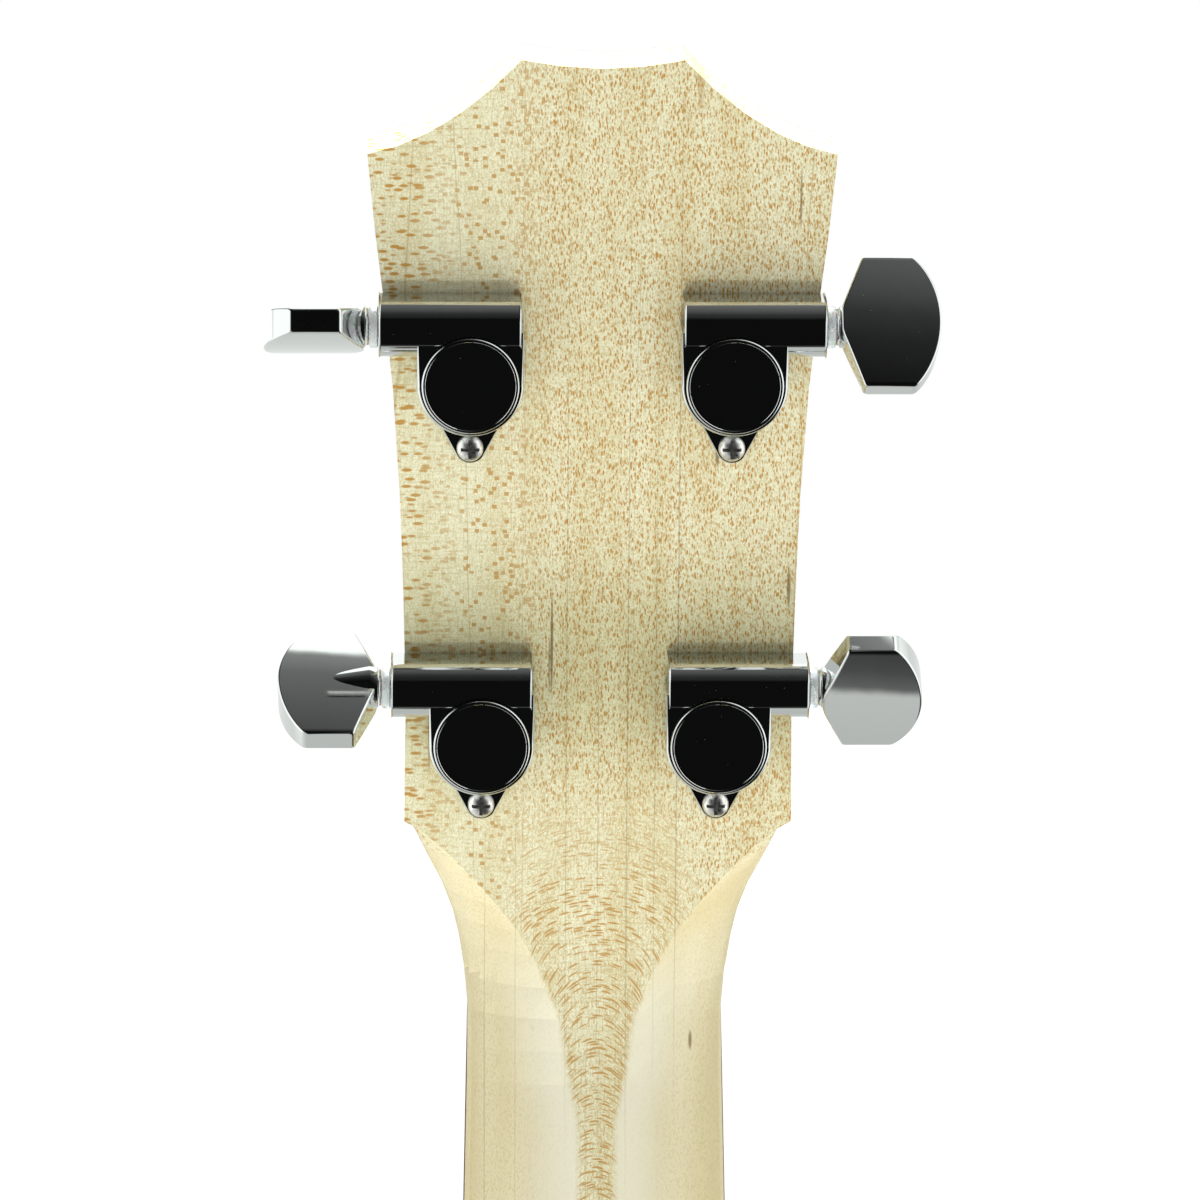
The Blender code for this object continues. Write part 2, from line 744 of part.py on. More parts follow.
def make_truss_rod():
    rod_low = FACE_Y + ROD_TOP_GAP
    half = ROD_WIDTH / 2.0
    rod = block(
        "truss_rod",
        (-half, rod_low, JOINT_Z + GAP + 0.004),
        (half, rod_low + ROD_DEPTH, PIVOT_Z - 0.0022),
        steel(),
    )
    centre = (0.0, rod_low + ROD_DEPTH / 2.0, 0.0)
    spindle = turned(
        "rod_spindle",
        [(PIVOT_Z - 0.006, SPINDLE_RADIUS), (PIVOT_Z + TRUSS_NUT_LENGTH * 0.5, SPINDLE_RADIUS)],
        None,
        steps=12,
        origin=centre,
    )
    combine(rod, spindle, "UNION")
    start = PIVOT_Z - 0.0006
    bore = (SPINDLE_RADIUS + GAP) / math.cos(math.pi / 6.0)
    axis = empty("truss_nut_axis", Matrix.Translation(centre))
    profile = [
        (start, bore),
        (start, TRUSS_NUT_RADIUS),
        (start + TRUSS_NUT_LENGTH, TRUSS_NUT_RADIUS),
        (start + TRUSS_NUT_LENGTH, bore),
    ]
    ring_of("truss_nut", profile, steel(), steps=6, parent=axis)


def make_cover_plate():
    """The bell-shaped plate over the truss rod's nut."""
    base_v, top_v = COVER_PLATE_BASE_V, COVER_PLATE_TOP_V
    wide, narrow = COVER_PLATE_WIDE, COVER_PLATE_NARROW
    outline = []
    for step in range(9):
        share = step / 8.0
        bell = wide + (narrow - wide) * (3.0 * share ** 2 - 2.0 * share ** 3)
        outline.append((bell, base_v + (top_v - base_v) * share))
    outline.append((0.0, top_v + narrow * 0.7))
    outline += [(-half, along) for half, along in reversed(outline[:-1])]
    start = -GAP - COVER_PLATE_THICK
    return prism("truss_rod_cover", outline, on_head, start, -GAP, black_plastic())


# Body

def bezier(first, first_handle, last_handle, last, steps):
    """Points along one cubic curve, without its last point."""
    points = []
    for step in range(steps):
        s = step / steps
        r = 1.0 - s
        weights = (r ** 3, 3.0 * r * r * s, 3.0 * r * s * s, s ** 3)
        knots = (first, first_handle, last_handle, last)
        points.append(tuple(sum(w * knot[k] for w, knot in zip(weights, knots)) for k in (0, 1)))
    return points


def half_outline():
    """The treble half of the body's outline as (x, z), from the neck joint down to the tail."""
    upper, waist, lower = UPPER_BOUT / 2.0, WAIST / 2.0, LOWER_BOUT / 2.0
    at = lambda share: JOINT_Z - BODY_LENGTH * share
    top, tail = (0.0, JOINT_Z), (0.0, TAIL_Z)
    bout, middle, wide = (upper, at(UPPER_BOUT_AT)), (waist, at(WAIST_AT)), (lower, at(LOWER_BOUT_AT))
    points = bezier(top, (upper * 0.58, JOINT_Z), (upper, at(0.07)), bout, 7)
    points += bezier(bout, (upper, at(0.30)), (waist, at(0.34)), middle, 5)
    points += bezier(middle, (waist, at(0.53)), (lower, at(0.56)), wide, 7)
    points += bezier(wide, (lower, at(0.905)), (lower * 0.6, TAIL_Z), tail, 9)
    return points + [tail]


def inset(points, by):
    """The same line moved inwards, square to itself; both ends stay on the centre line."""
    moved = []
    for index, point in enumerate(points):
        before = points[max(index - 1, 0)]
        after = points[min(index + 1, len(points) - 1)]
        run_x, run_z = after[0] - before[0], after[1] - before[1]
        if index in (0, len(points) - 1):
            run_x, run_z = (1.0, 0.0) if index == 0 else (-1.0, 0.0)
        length = math.hypot(run_x, run_z)
        moved.append((point[0] + run_z / length * by, point[1] - run_x / length * by))
    return moved


def whole(points):
    """Both halves of an outline, round from the neck joint on the treble side."""
    return points + [(-x, z) for x, z in reversed(points[1:-1])]


def back_y(x, z):
    """The outside of the back: deeper towards the tail, and part of a large sphere."""
    along = JOINT_Z - z
    middle = BODY_LENGTH / 2.0
    depth = DEPTH_AT_NECK + (DEPTH_AT_TAIL - DEPTH_AT_NECK) * along / BODY_LENGTH
    dome = (middle ** 2 - x ** 2 - (along - middle) ** 2) / (2.0 * BACK_DOME_RADIUS)
    return FACE_Y + depth + dome


def upright(a, b, depth):
    """Places an outline drawn on the soundboard's plane."""
    return (a, depth, b)


def make_soundboard():
    board = prism("soundboard", whole(half_outline()), upright, FACE_Y, TOP_INNER_Y, spruce())
    hole = turned(
        "soundhole",
        [(FACE_Y - 0.01, SOUNDHOLE_RADIUS), (TOP_INNER_Y + 0.01, SOUNDHOLE_RADIUS)],
        None,
        axis="Y",
        steps=36,
        origin=(0.0, 0.0, HOLE_Z),
    )
    combine(board, hole)
    return combine(board, keyholes("soundboard_pin_holes", False))


def make_back():
    """The domed back plate, in rings that shrink towards its middle."""
    outline = whole(half_outline())
    centre_z = JOINT_Z - BODY_LENGTH * 0.53
    rings = []
    inner_rings = []
    for share in (1.0, 0.68, 0.34, 0.02):
        ring = [(x * share, centre_z + (z - centre_z) * share) for x, z in outline]
        rings.append([Vector((x, back_y(x, z), z)) for x, z in ring])
        inner_rings.append([Vector((x, back_y(x, z) - BACK_THICK, z)) for x, z in ring])
    return loft("back_plate", inner_rings[::-1] + rings, maple())


def make_side(name, hand):
    """One bent side, with its lower edge following the back."""
    outer = half_outline()
    inner = inset(outer, SIDE_THICK)
    front = TOP_INNER_Y + GAP
    rings = []
    for (x, z), (inner_x, inner_z) in zip(outer, inner):
        x, inner_x = max(x, GAP / 2.0), max(inner_x, GAP / 2.0)
        rim = min(back_y(x, z), back_y(inner_x, inner_z)) - BACK_THICK - GAP
        corners = ((x, front, z), (x, rim, z), (inner_x, rim, inner_z), (inner_x, front, inner_z))
        rings.append([Vector((a * hand, b, c)) for a, b, c in corners])
    side = loft(name, rings, maple())
    holes = []
    for index, y in enumerate(BOLT_Y):
        profile = [(JOINT_Z - 0.010, BOLT_RADIUS + BOLT_GAP), (JOINT_Z + 0.005, BOLT_RADIUS + BOLT_GAP)]
        holes.append(turned(f"{name}_bolt_hole_{index}", profile, None, steps=12, origin=(0, y, 0)))
    profile = [(TAIL_Z - 0.005, STRAP_SCREW_RADIUS + GAP), (TAIL_Z + 0.010, STRAP_SCREW_RADIUS + GAP)]
    holes.append(turned(f"{name}_screw_hole", profile, None, steps=12, origin=(0, STRAP_Y, 0)))
    return combine(side, joined(f"{name}_holes", holes))


def end_block(name, width, near, far, holes):
    """A block glued inside one end of the body: near follows the sides and far is its flat face."""
    inner = inset(half_outline(), SIDE_THICK + GAP)
    row = [point for point in inner if point[0] < width / 2.0 and abs(point[1] - near) < 0.030]
    row.sort()
    edge = (width / 2.0, between([(x, z) for x, z in sorted(inner_near(inner, near))], width / 2.0, 1))
    outline = row + [edge, (width / 2.0, far), (-width / 2.0, far), (-edge[0], edge[1])]
    outline += [(-x, z) for x, z in reversed(row) if x > 0.0]
    front = TOP_INNER_Y + GAP
    rings = [[Vector((x, front, z)) for x, z in outline]]
    rings.append([Vector((x, back_y(x, z) - BACK_THICK - GAP, z)) for x, z in outline])
    made = loft(name, rings, brace_wood())
    return combine(made, holes)


def inner_near(points, z):
    """The points of an outline in the half that lies towards this end."""
    middle = JOINT_Z - BODY_LENGTH / 2.0
    upper = z > middle
    chosen = []
    for point in (points if upper else list(reversed(points))):
        if chosen and point[0] <= chosen[-1][0]:
            break
        chosen.append(point)
    return chosen


def make_blocks():
    holes = []
    for index, y in enumerate(BOLT_Y):
        low = JOINT_Z - NECK_BLOCK_LENGTH - 0.010
        profile = [(low, BOLT_RADIUS + BOLT_GAP), (JOINT_Z + 0.005, BOLT_RADIUS + BOLT_GAP)]
        holes.append(turned(f"block_bolt_hole_{index}", profile, None, steps=12, origin=(0, y, 0)))
    far = JOINT_Z - NECK_BLOCK_LENGTH
    end_block("neck_block", NECK_BLOCK_WIDTH, JOINT_Z, far, joined("neck_block_holes", holes))
    profile = [
        (TAIL_Z - 0.005, STRAP_SCREW_RADIUS + GAP),
        (TAIL_Z + STRAP_SCREW_LENGTH + GAP, STRAP_SCREW_RADIUS + GAP),
    ]
    hole = turned("tail_block_hole", profile, None, steps=12, origin=(0, STRAP_Y, 0))
    end_block("tail_block", TAIL_BLOCK_WIDTH, TAIL_Z, TAIL_Z + TAIL_BLOCK_LENGTH, hole)


def brace_profile(start, end, notches, foot):
    """A brace seen from its side: (along, height), its ends swept low, with notches to cross others."""
    slope = BRACE_HEIGHT * 2.5
    shape = [(start, 0.0)]
    for centre, half, depth, from_foot in notches:
        if from_foot:
            shape += [(centre - half, 0.0), (centre - half, depth), (centre + half, depth)]
            shape += [(centre + half, 0.0)]
    shape += [(end, 0.0), (end, BRACE_END), (end - slope, BRACE_HEIGHT)]
    for centre, half, depth, from_foot in notches:
        if not from_foot:
            shape += [(centre + half, BRACE_HEIGHT), (centre + half, depth), (centre - half, depth)]
            shape += [(centre - half, BRACE_HEIGHT)]
    shape += [(start + slope, BRACE_HEIGHT), (start, BRACE_END)]
    return [(along, foot + height) for along, height in shape]


def make_x_brace(name, hand, notch_from_foot):
    """One leg of the X: it runs from the upper bout on one side to the lower bout on the other."""
    lean = math.radians(X_BRACE_LEAN)
    along_dir = (math.sin(lean) * hand, -math.cos(lean))
    cross_dir = (math.cos(lean) * hand, math.sin(lean))
    crossing = PIN_Z + X_ABOVE_PINS
    half_notch = BRACE_WIDTH / 2.0 / math.sin(2.0 * lean) * 1.02 + GAP * 2.0
    middle = BRACE_HEIGHT / 2.0
    depth = middle + GAP if notch_from_foot else middle
    notch = [(0.0, half_notch * 1.2, depth, notch_from_foot)]
    start, end = -X_BRACE_UP, X_BRACE_DOWN
    profile = brace_profile(start, end, notch, 0.0)

    def place(along, height, depth):
        x = along * along_dir[0] + depth * cross_dir[0]
        z = crossing + along * along_dir[1] + depth * cross_dir[1]
        return (x, TOP_INNER_Y + GAP + height, z)

    return prism(name, profile, place, -BRACE_WIDTH / 2.0, BRACE_WIDTH / 2.0, brace_wood())


def make_transverse_brace():
    half = TRANSVERSE_HALF
    foot = TOP_INNER_Y + GAP
    profile = brace_profile(-half, half, [], foot)
    place = lambda a, b, depth: (a, b, JOINT_Z - TRANSVERSE_FROM_JOINT + depth)
    reach = BRACE_WIDTH / 2.0
    return prism("transverse_brace", profile, place, -reach, reach, brace_wood())


def make_back_brace(name, from_joint, half):
    """A cross brace on the back, its foot curved to the plate."""
    z = JOINT_Z - from_joint
    steps = 10
    foot, ridge = [], []
    for step in range(steps + 1):
        x = -half + 2.0 * half * step / steps
        low = min(back_y(x, z - BRACE_WIDTH), back_y(x, z + BRACE_WIDTH)) - BACK_THICK - BOLT_GAP
        height = BRACE_HEIGHT if 0 < step < steps else BRACE_END
        foot.append((x, low))
        ridge.append((x, low - height))
    place = lambda a, b, depth: (a, b, z + depth)
    reach = BRACE_WIDTH / 2.0
    return prism(name, foot + ridge[::-1], place, -reach, reach, brace_wood())


# Bridge

def string_drop(name):
    """How far a string's centre lies from its pin's axis, towards the saddle."""
    return PIN_RADIUS + GAP + STRINGS[name][1] / 2.0


def keyhole(centre_x, centre_z, radius, half, reach):
    """A round hole with a slot for the string, which opens towards the saddle."""
    first = math.asin(min(half / radius, 0.95))
    steps = 9
    shape = []
    for step in range(steps + 1):
        angle = first + (2.0 * math.pi - 2.0 * first) * step / steps
        shape.append((centre_x + radius * math.sin(angle), centre_z + radius * math.cos(angle)))
    shape += [(centre_x - half, centre_z + reach), (centre_x + half, centre_z + reach)]
    return shape


def keyholes(name, ramp):
    """Cutters for the four pins and their strings; in the bridge each slot runs on as a ramp."""
    cutters = []
    for string, (order, diameter, *_) in STRINGS.items():
        half = diameter / 2.0 + GAP
        reach = string_drop(string) + half + (RAMP_REACH if ramp else 0.0)
        centre_x = string_x(order, BRIDGE_SPREAD)
        shape = keyhole(centre_x, PIN_Z, PIN_RADIUS + GAP, half, reach)
        cutter = f"{name}_{string}"
        cutters.append(prism(cutter, shape, upright, FACE_Y - 0.02, FACE_Y + 0.02, None))
    return joined(name, cutters)


def bridge_outline():
    """The bridge from the front: a long bar with rounded ends, its middle a little deeper."""
    top = SADDLE_Z + SADDLE_FROM_EDGE
    low = top - BRIDGE_LENGTH
    centre = (top + low) / 2.0
    half = BRIDGE_WIDTH / 2.0
    corner = BRIDGE_LENGTH * 0.30
    end_half = BRIDGE_LENGTH * 0.36
    right = [(half * 0.62, top), (half - corner, centre + end_half)]
    for step in range(1, 6):
        angle = math.pi / 2.0 - math.pi * step / 6.0
        right.append((half - corner + corner * math.cos(angle), centre + end_half * math.sin(angle)))
    right += [(half - corner, centre - end_half), (half * 0.62, low)]
    return right + [(-x, z) for x, z in reversed(right)]


def make_bridge():
    base = FACE_Y - GAP
    front = base - BRIDGE_THICK
    bridge = prism("bridge", bridge_outline(), upright, base, front, dark_wood())
    slot = block(
        "saddle_slot",
        (-SADDLE_WIDTH / 2.0 - GAP, front - 0.001, SADDLE_Z - SADDLE_THICK / 2.0 - GAP),
        (SADDLE_WIDTH / 2.0 + GAP, front + SADDLE_SEAT, SADDLE_Z + SADDLE_THICK / 2.0 + GAP),
        None,
    )
    combine(bridge, slot)
    combine(bridge, keyholes("bridge_pin_holes", True))
    low = front + SADDLE_SEAT - GAP
    top = string_bottom(SADDLE_Z) + GAP
    half = SADDLE_THICK / 2.0
    shape = [
        (SADDLE_Z - half, low),
        (SADDLE_Z - half, top + half * 0.6),
        (SADDLE_Z - half * 0.4, top),
        (SADDLE_Z + half * 0.4, top),
        (SADDLE_Z + half, top + half * 0.6),
        (SADDLE_Z + half, low),
    ]
    place = lambda a, b, depth: (depth, b, a)
    prism("saddle", shape, place, -SADDLE_WIDTH / 2.0, SADDLE_WIDTH / 2.0, bone())
    for name, (order, *_) in STRINGS.items():
        head = front - GAP
        profile = [
            (head - PIN_HEAD_HEIGHT, PIN_HEAD_RADIUS * 0.5),
            (head - PIN_HEAD_HEIGHT * 0.7, PIN_HEAD_RADIUS * 0.9),
            (head - PIN_HEAD_HEIGHT * 0.35, PIN_HEAD_RADIUS),
            (head, PIN_HEAD_RADIUS * 0.85),
            (head, PIN_RADIUS),
            (head + PIN_LENGTH - 0.001, PIN_TIP_RADIUS),
            (head + PIN_LENGTH, PIN_TIP_RADIUS * 0.6),
        ]
        origin = (string_x(order, BRIDGE_SPREAD), 0.0, PIN_Z)
        turned(f"bridge_pin_{name}", profile, black_plastic(), axis="Y", steps=10, origin=origin)


def make_bridge_plate():
    """The hard plate under the soundboard that the string ends pull against."""
    top, low = PIN_Z + PLATE_ABOVE_PINS, PIN_Z - PLATE_BELOW_PINS
    outline = [(PLATE_TOP_HALF, top), (PLATE_LOW_HALF, low), (-PLATE_LOW_HALF, low), (-PLATE_TOP_HALF, top)]
    start = TOP_INNER_Y + GAP
    plate = prism("bridge_plate", outline, upright, start, start + PLATE_THICK, maple())
    return combine(plate, keyholes("plate_pin_holes", False))


def make_strap_button():
    """A turned button on its own screw, in the tail block."""
    start = TAIL_Z - GAP
    profile = [
        (start - STRAP_BUTTON_LENGTH, STRAP_BUTTON_RADIUS * 0.8),
        (start - STRAP_BUTTON_LENGTH * 0.9, STRAP_BUTTON_RADIUS),
        (start - STRAP_BUTTON_LENGTH * 0.72, STRAP_BUTTON_RADIUS * 0.9),
        (start - STRAP_BUTTON_LENGTH * 0.55, STRAP_BUTTON_WAIST),
        (start - STRAP_BUTTON_LENGTH * 0.25, STRAP_BUTTON_WAIST),
        (start - STRAP_BUTTON_LENGTH * 0.10, STRAP_BUTTON_RADIUS * 0.87),
        (start, STRAP_BUTTON_RADIUS * 0.87),
        (start, STRAP_SCREW_RADIUS),
        (TAIL_Z + STRAP_SCREW_LENGTH, STRAP_SCREW_RADIUS),
    ]
    turned("strap_button", profile, chrome(), steps=12, origin=(0.0, STRAP_Y, 0.0))


def make_heel_bolts():
    """Two bolts through the neck block into the heel, with their heads inside the body."""
    under = JOINT_Z - NECK_BLOCK_LENGTH - GAP
    for index, y in enumerate(BOLT_Y):
        profile = [
            (under - BOLT_HEAD_HEIGHT, BOLT_HEAD_RADIUS),
            (under, BOLT_HEAD_RADIUS),
            (under, BOLT_RADIUS),
            (JOINT_Z + BOLT_IN_HEEL[index], BOLT_RADIUS),
        ]
        turned(f"heel_bolt_{index + 1}", profile, steel(), steps=12, origin=(0.0, y, 0.0))


# Tuners. Each mesh is drawn for the treble side and mirrored for the bass side.

def tuner_place(name):
    """The tuner's hand and its frame: its origin is on the post's axis, at the back of the head."""
    side, row = STRINGS[name][2:4]
    origin = on_head(side * TUNER_X[row], TUNER_V[row], HEAD_THICK)
    frame = Matrix.Identity(4)
    for index, column in enumerate((Vector((1.0, 0.0, 0.0)), HEAD_UP, -HEAD_BACK)):
        frame.col[index] = (*column, 0.0)
    frame.col[3] = (*origin, 1.0)
    return side, frame


def empty(name, frame, parent=None):
    """An empty that carries the pieces turning about its axis."""
    made = bpy.data.objects.new(name, None)
    made.empty_display_size = 0.01
    bpy.context.scene.collection.objects.link(made)
    made.parent = parent
    made.matrix_local = frame
    return made


def handed(piece, side):
    """Mirrors a piece drawn for the treble side."""
    if side < 0:
        piece.data.transform(Matrix.Diagonal((-1.0, 1.0, 1.0, 1.0)))
        piece.data.flip_normals()
    return piece


def bowl_outline():
    """The housing from behind: round below, with straight sides up to the middle of its tube."""
    outline = [(BOWL_RADIUS, CENTRE_DISTANCE)]
    for step in range(13):
        angle = -math.pi * step / 12.0
        outline.append((BOWL_RADIUS * math.cos(angle), BOWL_RADIUS * math.sin(angle)))
    outline.append((-BOWL_RADIUS, CENTRE_DISTANCE))
    return outline


def tube_outline():
    """The tube from its end: it stands on the head, and its outer corners are cut off."""
    low, high = CENTRE_DISTANCE - TUBE_HALF, CENTRE_DISTANCE + TUBE_HALF
    foot, top = -GAP * 1.2, -BOWL_HEIGHT - TUBE_RISE
    cut = TUBE_CHAMFER
    return [(low, foot), (low, top + cut), (low + cut, top), (high - cut, top), (high, top + cut), (high, foot)]


def make_housing(name, side, frame):
    """The cast shell: a bowl round the wheel, a tube round the worm and an ear for the screw."""
    bowl = prism(f"tuner_housing_{name}", bowl_outline(), flat_place, -BOWL_HEIGHT, -GAP, chrome(), frame)
    along_tube = lambda a, b, depth: (depth, a, b)
    tube = prism(f"tube_{name}", tube_outline(), along_tube, -TUBE_INNER_X, TUBE_OUTER_X, None, frame)
    ear = prism(f"ear_{name}", ear_outline(), flat_place, -GAP - EAR_THICK, -GAP * 1.1, None, frame)
    cavity_profile = [(-BOWL_HEIGHT - PAST, CAVITY_RADIUS), (-GAP - BASE_THICK, CAVITY_RADIUS)]
    cavity = turned(f"cavity_{name}", cavity_profile, None, steps=20, parent=frame)
    axis = (0.0, CENTRE_DISTANCE, -WORM_HEIGHT)
    bore_profile = [
        (-TUBE_INNER_X + TUBE_END_WALL, WORM_BORE_RADIUS),
        (TUBE_OUTER_X + PAST, WORM_BORE_RADIUS),
    ]
    bore = turned(f"bore_{name}", bore_profile, None, axis="X", steps=12, origin=axis, parent=frame)
    hole_profile = [(-GAP - BASE_THICK - PAST, POST_RADIUS + GAP), (PAST, POST_RADIUS + GAP)]
    hole = turned(f"post_hole_{name}", hole_profile, None, steps=14, parent=frame)
    screw_profile = [(-GAP - EAR_THICK - PAST, SCREW_RADIUS + GAP), (PAST, SCREW_RADIUS + GAP)]
    screw_at = (0.0, SCREW_Y, 0.0)
    screw = turned(f"ear_hole_{name}", screw_profile, None, steps=8, origin=screw_at, parent=frame)
    for other, operation in (
        (tube, "UNION"),
        (ear, "UNION"),
        (cavity, "DIFFERENCE"),
        (bore, "DIFFERENCE"),
        (hole, "DIFFERENCE"),
        (screw, "DIFFERENCE"),
    ):
        handed(other, side)
        combine(bowl, other, operation)
    return handed(bowl, side)


def flat_place(a, b, depth):
    return (a, b, depth)


def ear_outline():
    """Straight edges from the bowl down to a round end about the screw."""
    reach = -SCREW_Y
    lean = math.asin((BOWL_RADIUS - EAR_RADIUS) / reach)
    outline = []
    for step in range(7):
        angle = -lean - (math.pi - 2.0 * lean) * step / 6.0
        outline.append((EAR_RADIUS * math.cos(angle), SCREW_Y + EAR_RADIUS * math.sin(angle)))
    root = (BOWL_RADIUS - 0.0004) * math.cos(lean)
    low = -(BOWL_RADIUS - 0.0004) * math.sin(lean)
    return [(root, low)] + outline + [(-root, low)]


def make_cover(name, side, frame):
    """The round cap that closes the bowl, with a raised rim."""
    seat = -BOWL_HEIGHT - GAP
    profile = [
        (seat + COVER_PLUG + GAP, CAVITY_RADIUS - 2.0 * GAP),
        (seat, CAVITY_RADIUS - 2.0 * GAP),
        (seat, COVER_RADIUS),
        (seat - COVER_THICK, COVER_RADIUS - COVER_RIM * 0.3),
        (seat - COVER_THICK * 0.75, COVER_RADIUS - COVER_RIM),
    ]
    turned(f"tuner_cover_{name}", profile, chrome(), steps=20, parent=frame)


def worm_mesh(name, side, parent):
    """The worm's shaft: its thread's corners follow the helix, so each column is one lead on."""
    columns = 10
    reach = WORM_THREAD_LENGTH / 2.0
    inner_end = -TUBE_INNER_X + 0.0013
    outer_end = TUBE_OUTER_X - 0.0002
    journal_start = reach + 0.0008
    before = [
        (inner_end, WORM_JOURNAL_RADIUS),
        (-journal_start, WORM_JOURNAL_RADIUS),
        (-journal_start, WORM_ROOT_RADIUS),
    ]
    after = [
        (journal_start, WORM_ROOT_RADIUS),
        (journal_start, WORM_JOURNAL_RADIUS),
        (outer_end, WORM_JOURNAL_RADIUS),
        (outer_end, STEM_RADIUS),
        (STEM_REACH, STEM_RADIUS),
    ]
    corners = (
        (-WORM_ROOT_HALF, WORM_ROOT_RADIUS),
        (-WORM_TIP_HALF, WORM_TIP_RADIUS),
        (WORM_TIP_HALF, WORM_TIP_RADIUS),
        (WORM_ROOT_HALF, WORM_ROOT_RADIUS),
    )
    turns = math.ceil(reach / WORM_LEAD) + 1
    rows = []
    for turn in range(-turns, turns + 1):
        for offset, radius in corners:
            row = []
            for column in range(columns):
                x = WORM_LEAD * (turn - 0.5 + column / columns) + offset
                inside = abs(x) < reach
                row.append((x if inside else math.copysign(reach, x), radius if inside else WORM_ROOT_RADIUS))
            rows.append(row)
    first_thread = len(before)
    grid = [[level] * columns for level in before] + rows + [[level] * columns for level in after]
    last_thread = first_thread + len(rows) - 1
    points = []
    for row in grid:
        for column, (x, radius) in enumerate(row):
            angle = 2.0 * math.pi * column / columns
            points.append((x, radius * math.cos(angle), radius * math.sin(angle)))
    faces = [tuple(range(columns))[::-1]]
    for row in range(len(grid) - 1):
        threaded = first_thread <= row < last_thread
        for column in range(columns):
            following = (column + 1) % columns
            ahead = (row, row + 1)
            if threaded and following == 0:
                ahead = (min(row + 4, last_thread), min(row + 5, last_thread))
            faces.append((
                row * columns + column,
                ahead[0] * columns + following,
                ahead[1] * columns + following,
                (row + 1) * columns + column,
            ))
    last = (len(grid) - 1) * columns
    faces.append(tuple(range(last, last + columns)))
    mesh = bpy.data.meshes.new(name)
    mesh.from_pydata(points, [], [face for face in faces if len(set(face)) > 2])
    return handed(add_object(name, mesh, steel(), parent), side)


def button_ring(share):
    """A section of the button square to its height; share runs from -1 to 1 over that height."""
    at_end = abs(share) == 1.0
    y = BUTTON_HALF_HEIGHT * share
    rise = max(abs(y) - BUTTON_BASE_HALF, 0.0) / (BUTTON_HALF_HEIGHT - BUTTON_BASE_HALF)
    near = BUTTON_START + BUTTON_SHOULDER_X * rise
    sweep = BUTTON_LENGTH - BUTTON_EDGE_END_X
    far = BUTTON_START + BUTTON_EDGE_END_X + sweep * (1.0 - share ** 2) ** 0.8
    half = BUTTON_EDGE_THICK / 2.0 + BUTTON_SWELL * (1.0 - share ** 2)
    cut = BUTTON_ROUND
    if at_end:
        near, far, half = near + cut, far - cut, half - cut
    corners = (
        (near + cut, half),
        (far - cut, half),
        (far, half - cut),
        (far, cut - half),
        (far - cut, -half),
        (near + cut, -half),
        (near, cut - half),
        (near, half - cut),
    )
    return [Vector((x, y, z - BUTTON_OFFSET)) for x, z in corners]


def make_button(name, side, parent, angle):
    """The button has two swollen faces; its tapered boss stands out of the one nearer its axis."""
    base = BUTTON_BASE_HALF / BUTTON_HALF_HEIGHT
    rounded = 1.0 - BUTTON_ROUND / BUTTON_HALF_HEIGHT
    shares = [0.0, base, 0.45, 0.75, rounded, 1.0]
    rings = [button_ring(-share) for share in reversed(shares[1:])]
    rings += [button_ring(share) for share in shares]
    button = loft(f"tuner_button_{name}", rings, chrome(), parent)
    edge = BUTTON_START
    boss_profile = [
        (edge - GAP, BUTTON_BOSS_RADIUS * 0.94),
        (edge + BUTTON_ROUND * 3.0, BUTTON_BOSS_RADIUS),
        (edge + BUTTON_BOSS_LENGTH, BUTTON_BOSS_TIP_RADIUS),
    ]
    boss = turned(f"boss_{name}", boss_profile, None, axis="X", steps=14, parent=button)
    stem_profile = [(edge - PAST, STEM_RADIUS + GAP), (STEM_REACH + GAP, STEM_RADIUS + GAP)]
    stem = turned(f"button_bore_{name}", stem_profile, None, axis="X", steps=12, parent=button)
    for other, operation in ((boss, "UNION"), (stem, "DIFFERENCE")):
        combine(button, handed(other, side), operation)
    button.rotation_euler = (math.radians(angle), 0.0, 0.0)
    return handed(button, side)


def gear_rings():
    """The wheel's teeth, twisted to run along the worm's thread, with a gap facing the worm."""
    twist = WORM_LEAD / (2.0 * math.pi * WORM_PITCH_RADIUS) / (TEETH * GEAR_MODULE / 2.0)
    rings = []
    for offset in (-GEAR_FACE / 2.0, GEAR_FACE / 2.0):
        ring = []
        for tooth in range(TEETH):
            centre = math.pi / 2.0 + 2.0 * math.pi * (tooth + 0.5) / TEETH + twist * offset
            root = GEAR_ROOT_HALF / GEAR_ROOT_RADIUS
            tip = GEAR_TIP_HALF / GEAR_TIP_RADIUS
            for turn, radius in (
                (-root, GEAR_ROOT_RADIUS),
                (-tip, GEAR_TIP_RADIUS),
                (tip, GEAR_TIP_RADIUS),
                (root, GEAR_ROOT_RADIUS),
            ):
                angle = centre + turn
                ring.append(Vector((
                    radius * math.cos(angle),
                    radius * math.sin(angle),
                    offset - WORM_HEIGHT,
                )))
        rings.append(ring)
    return rings


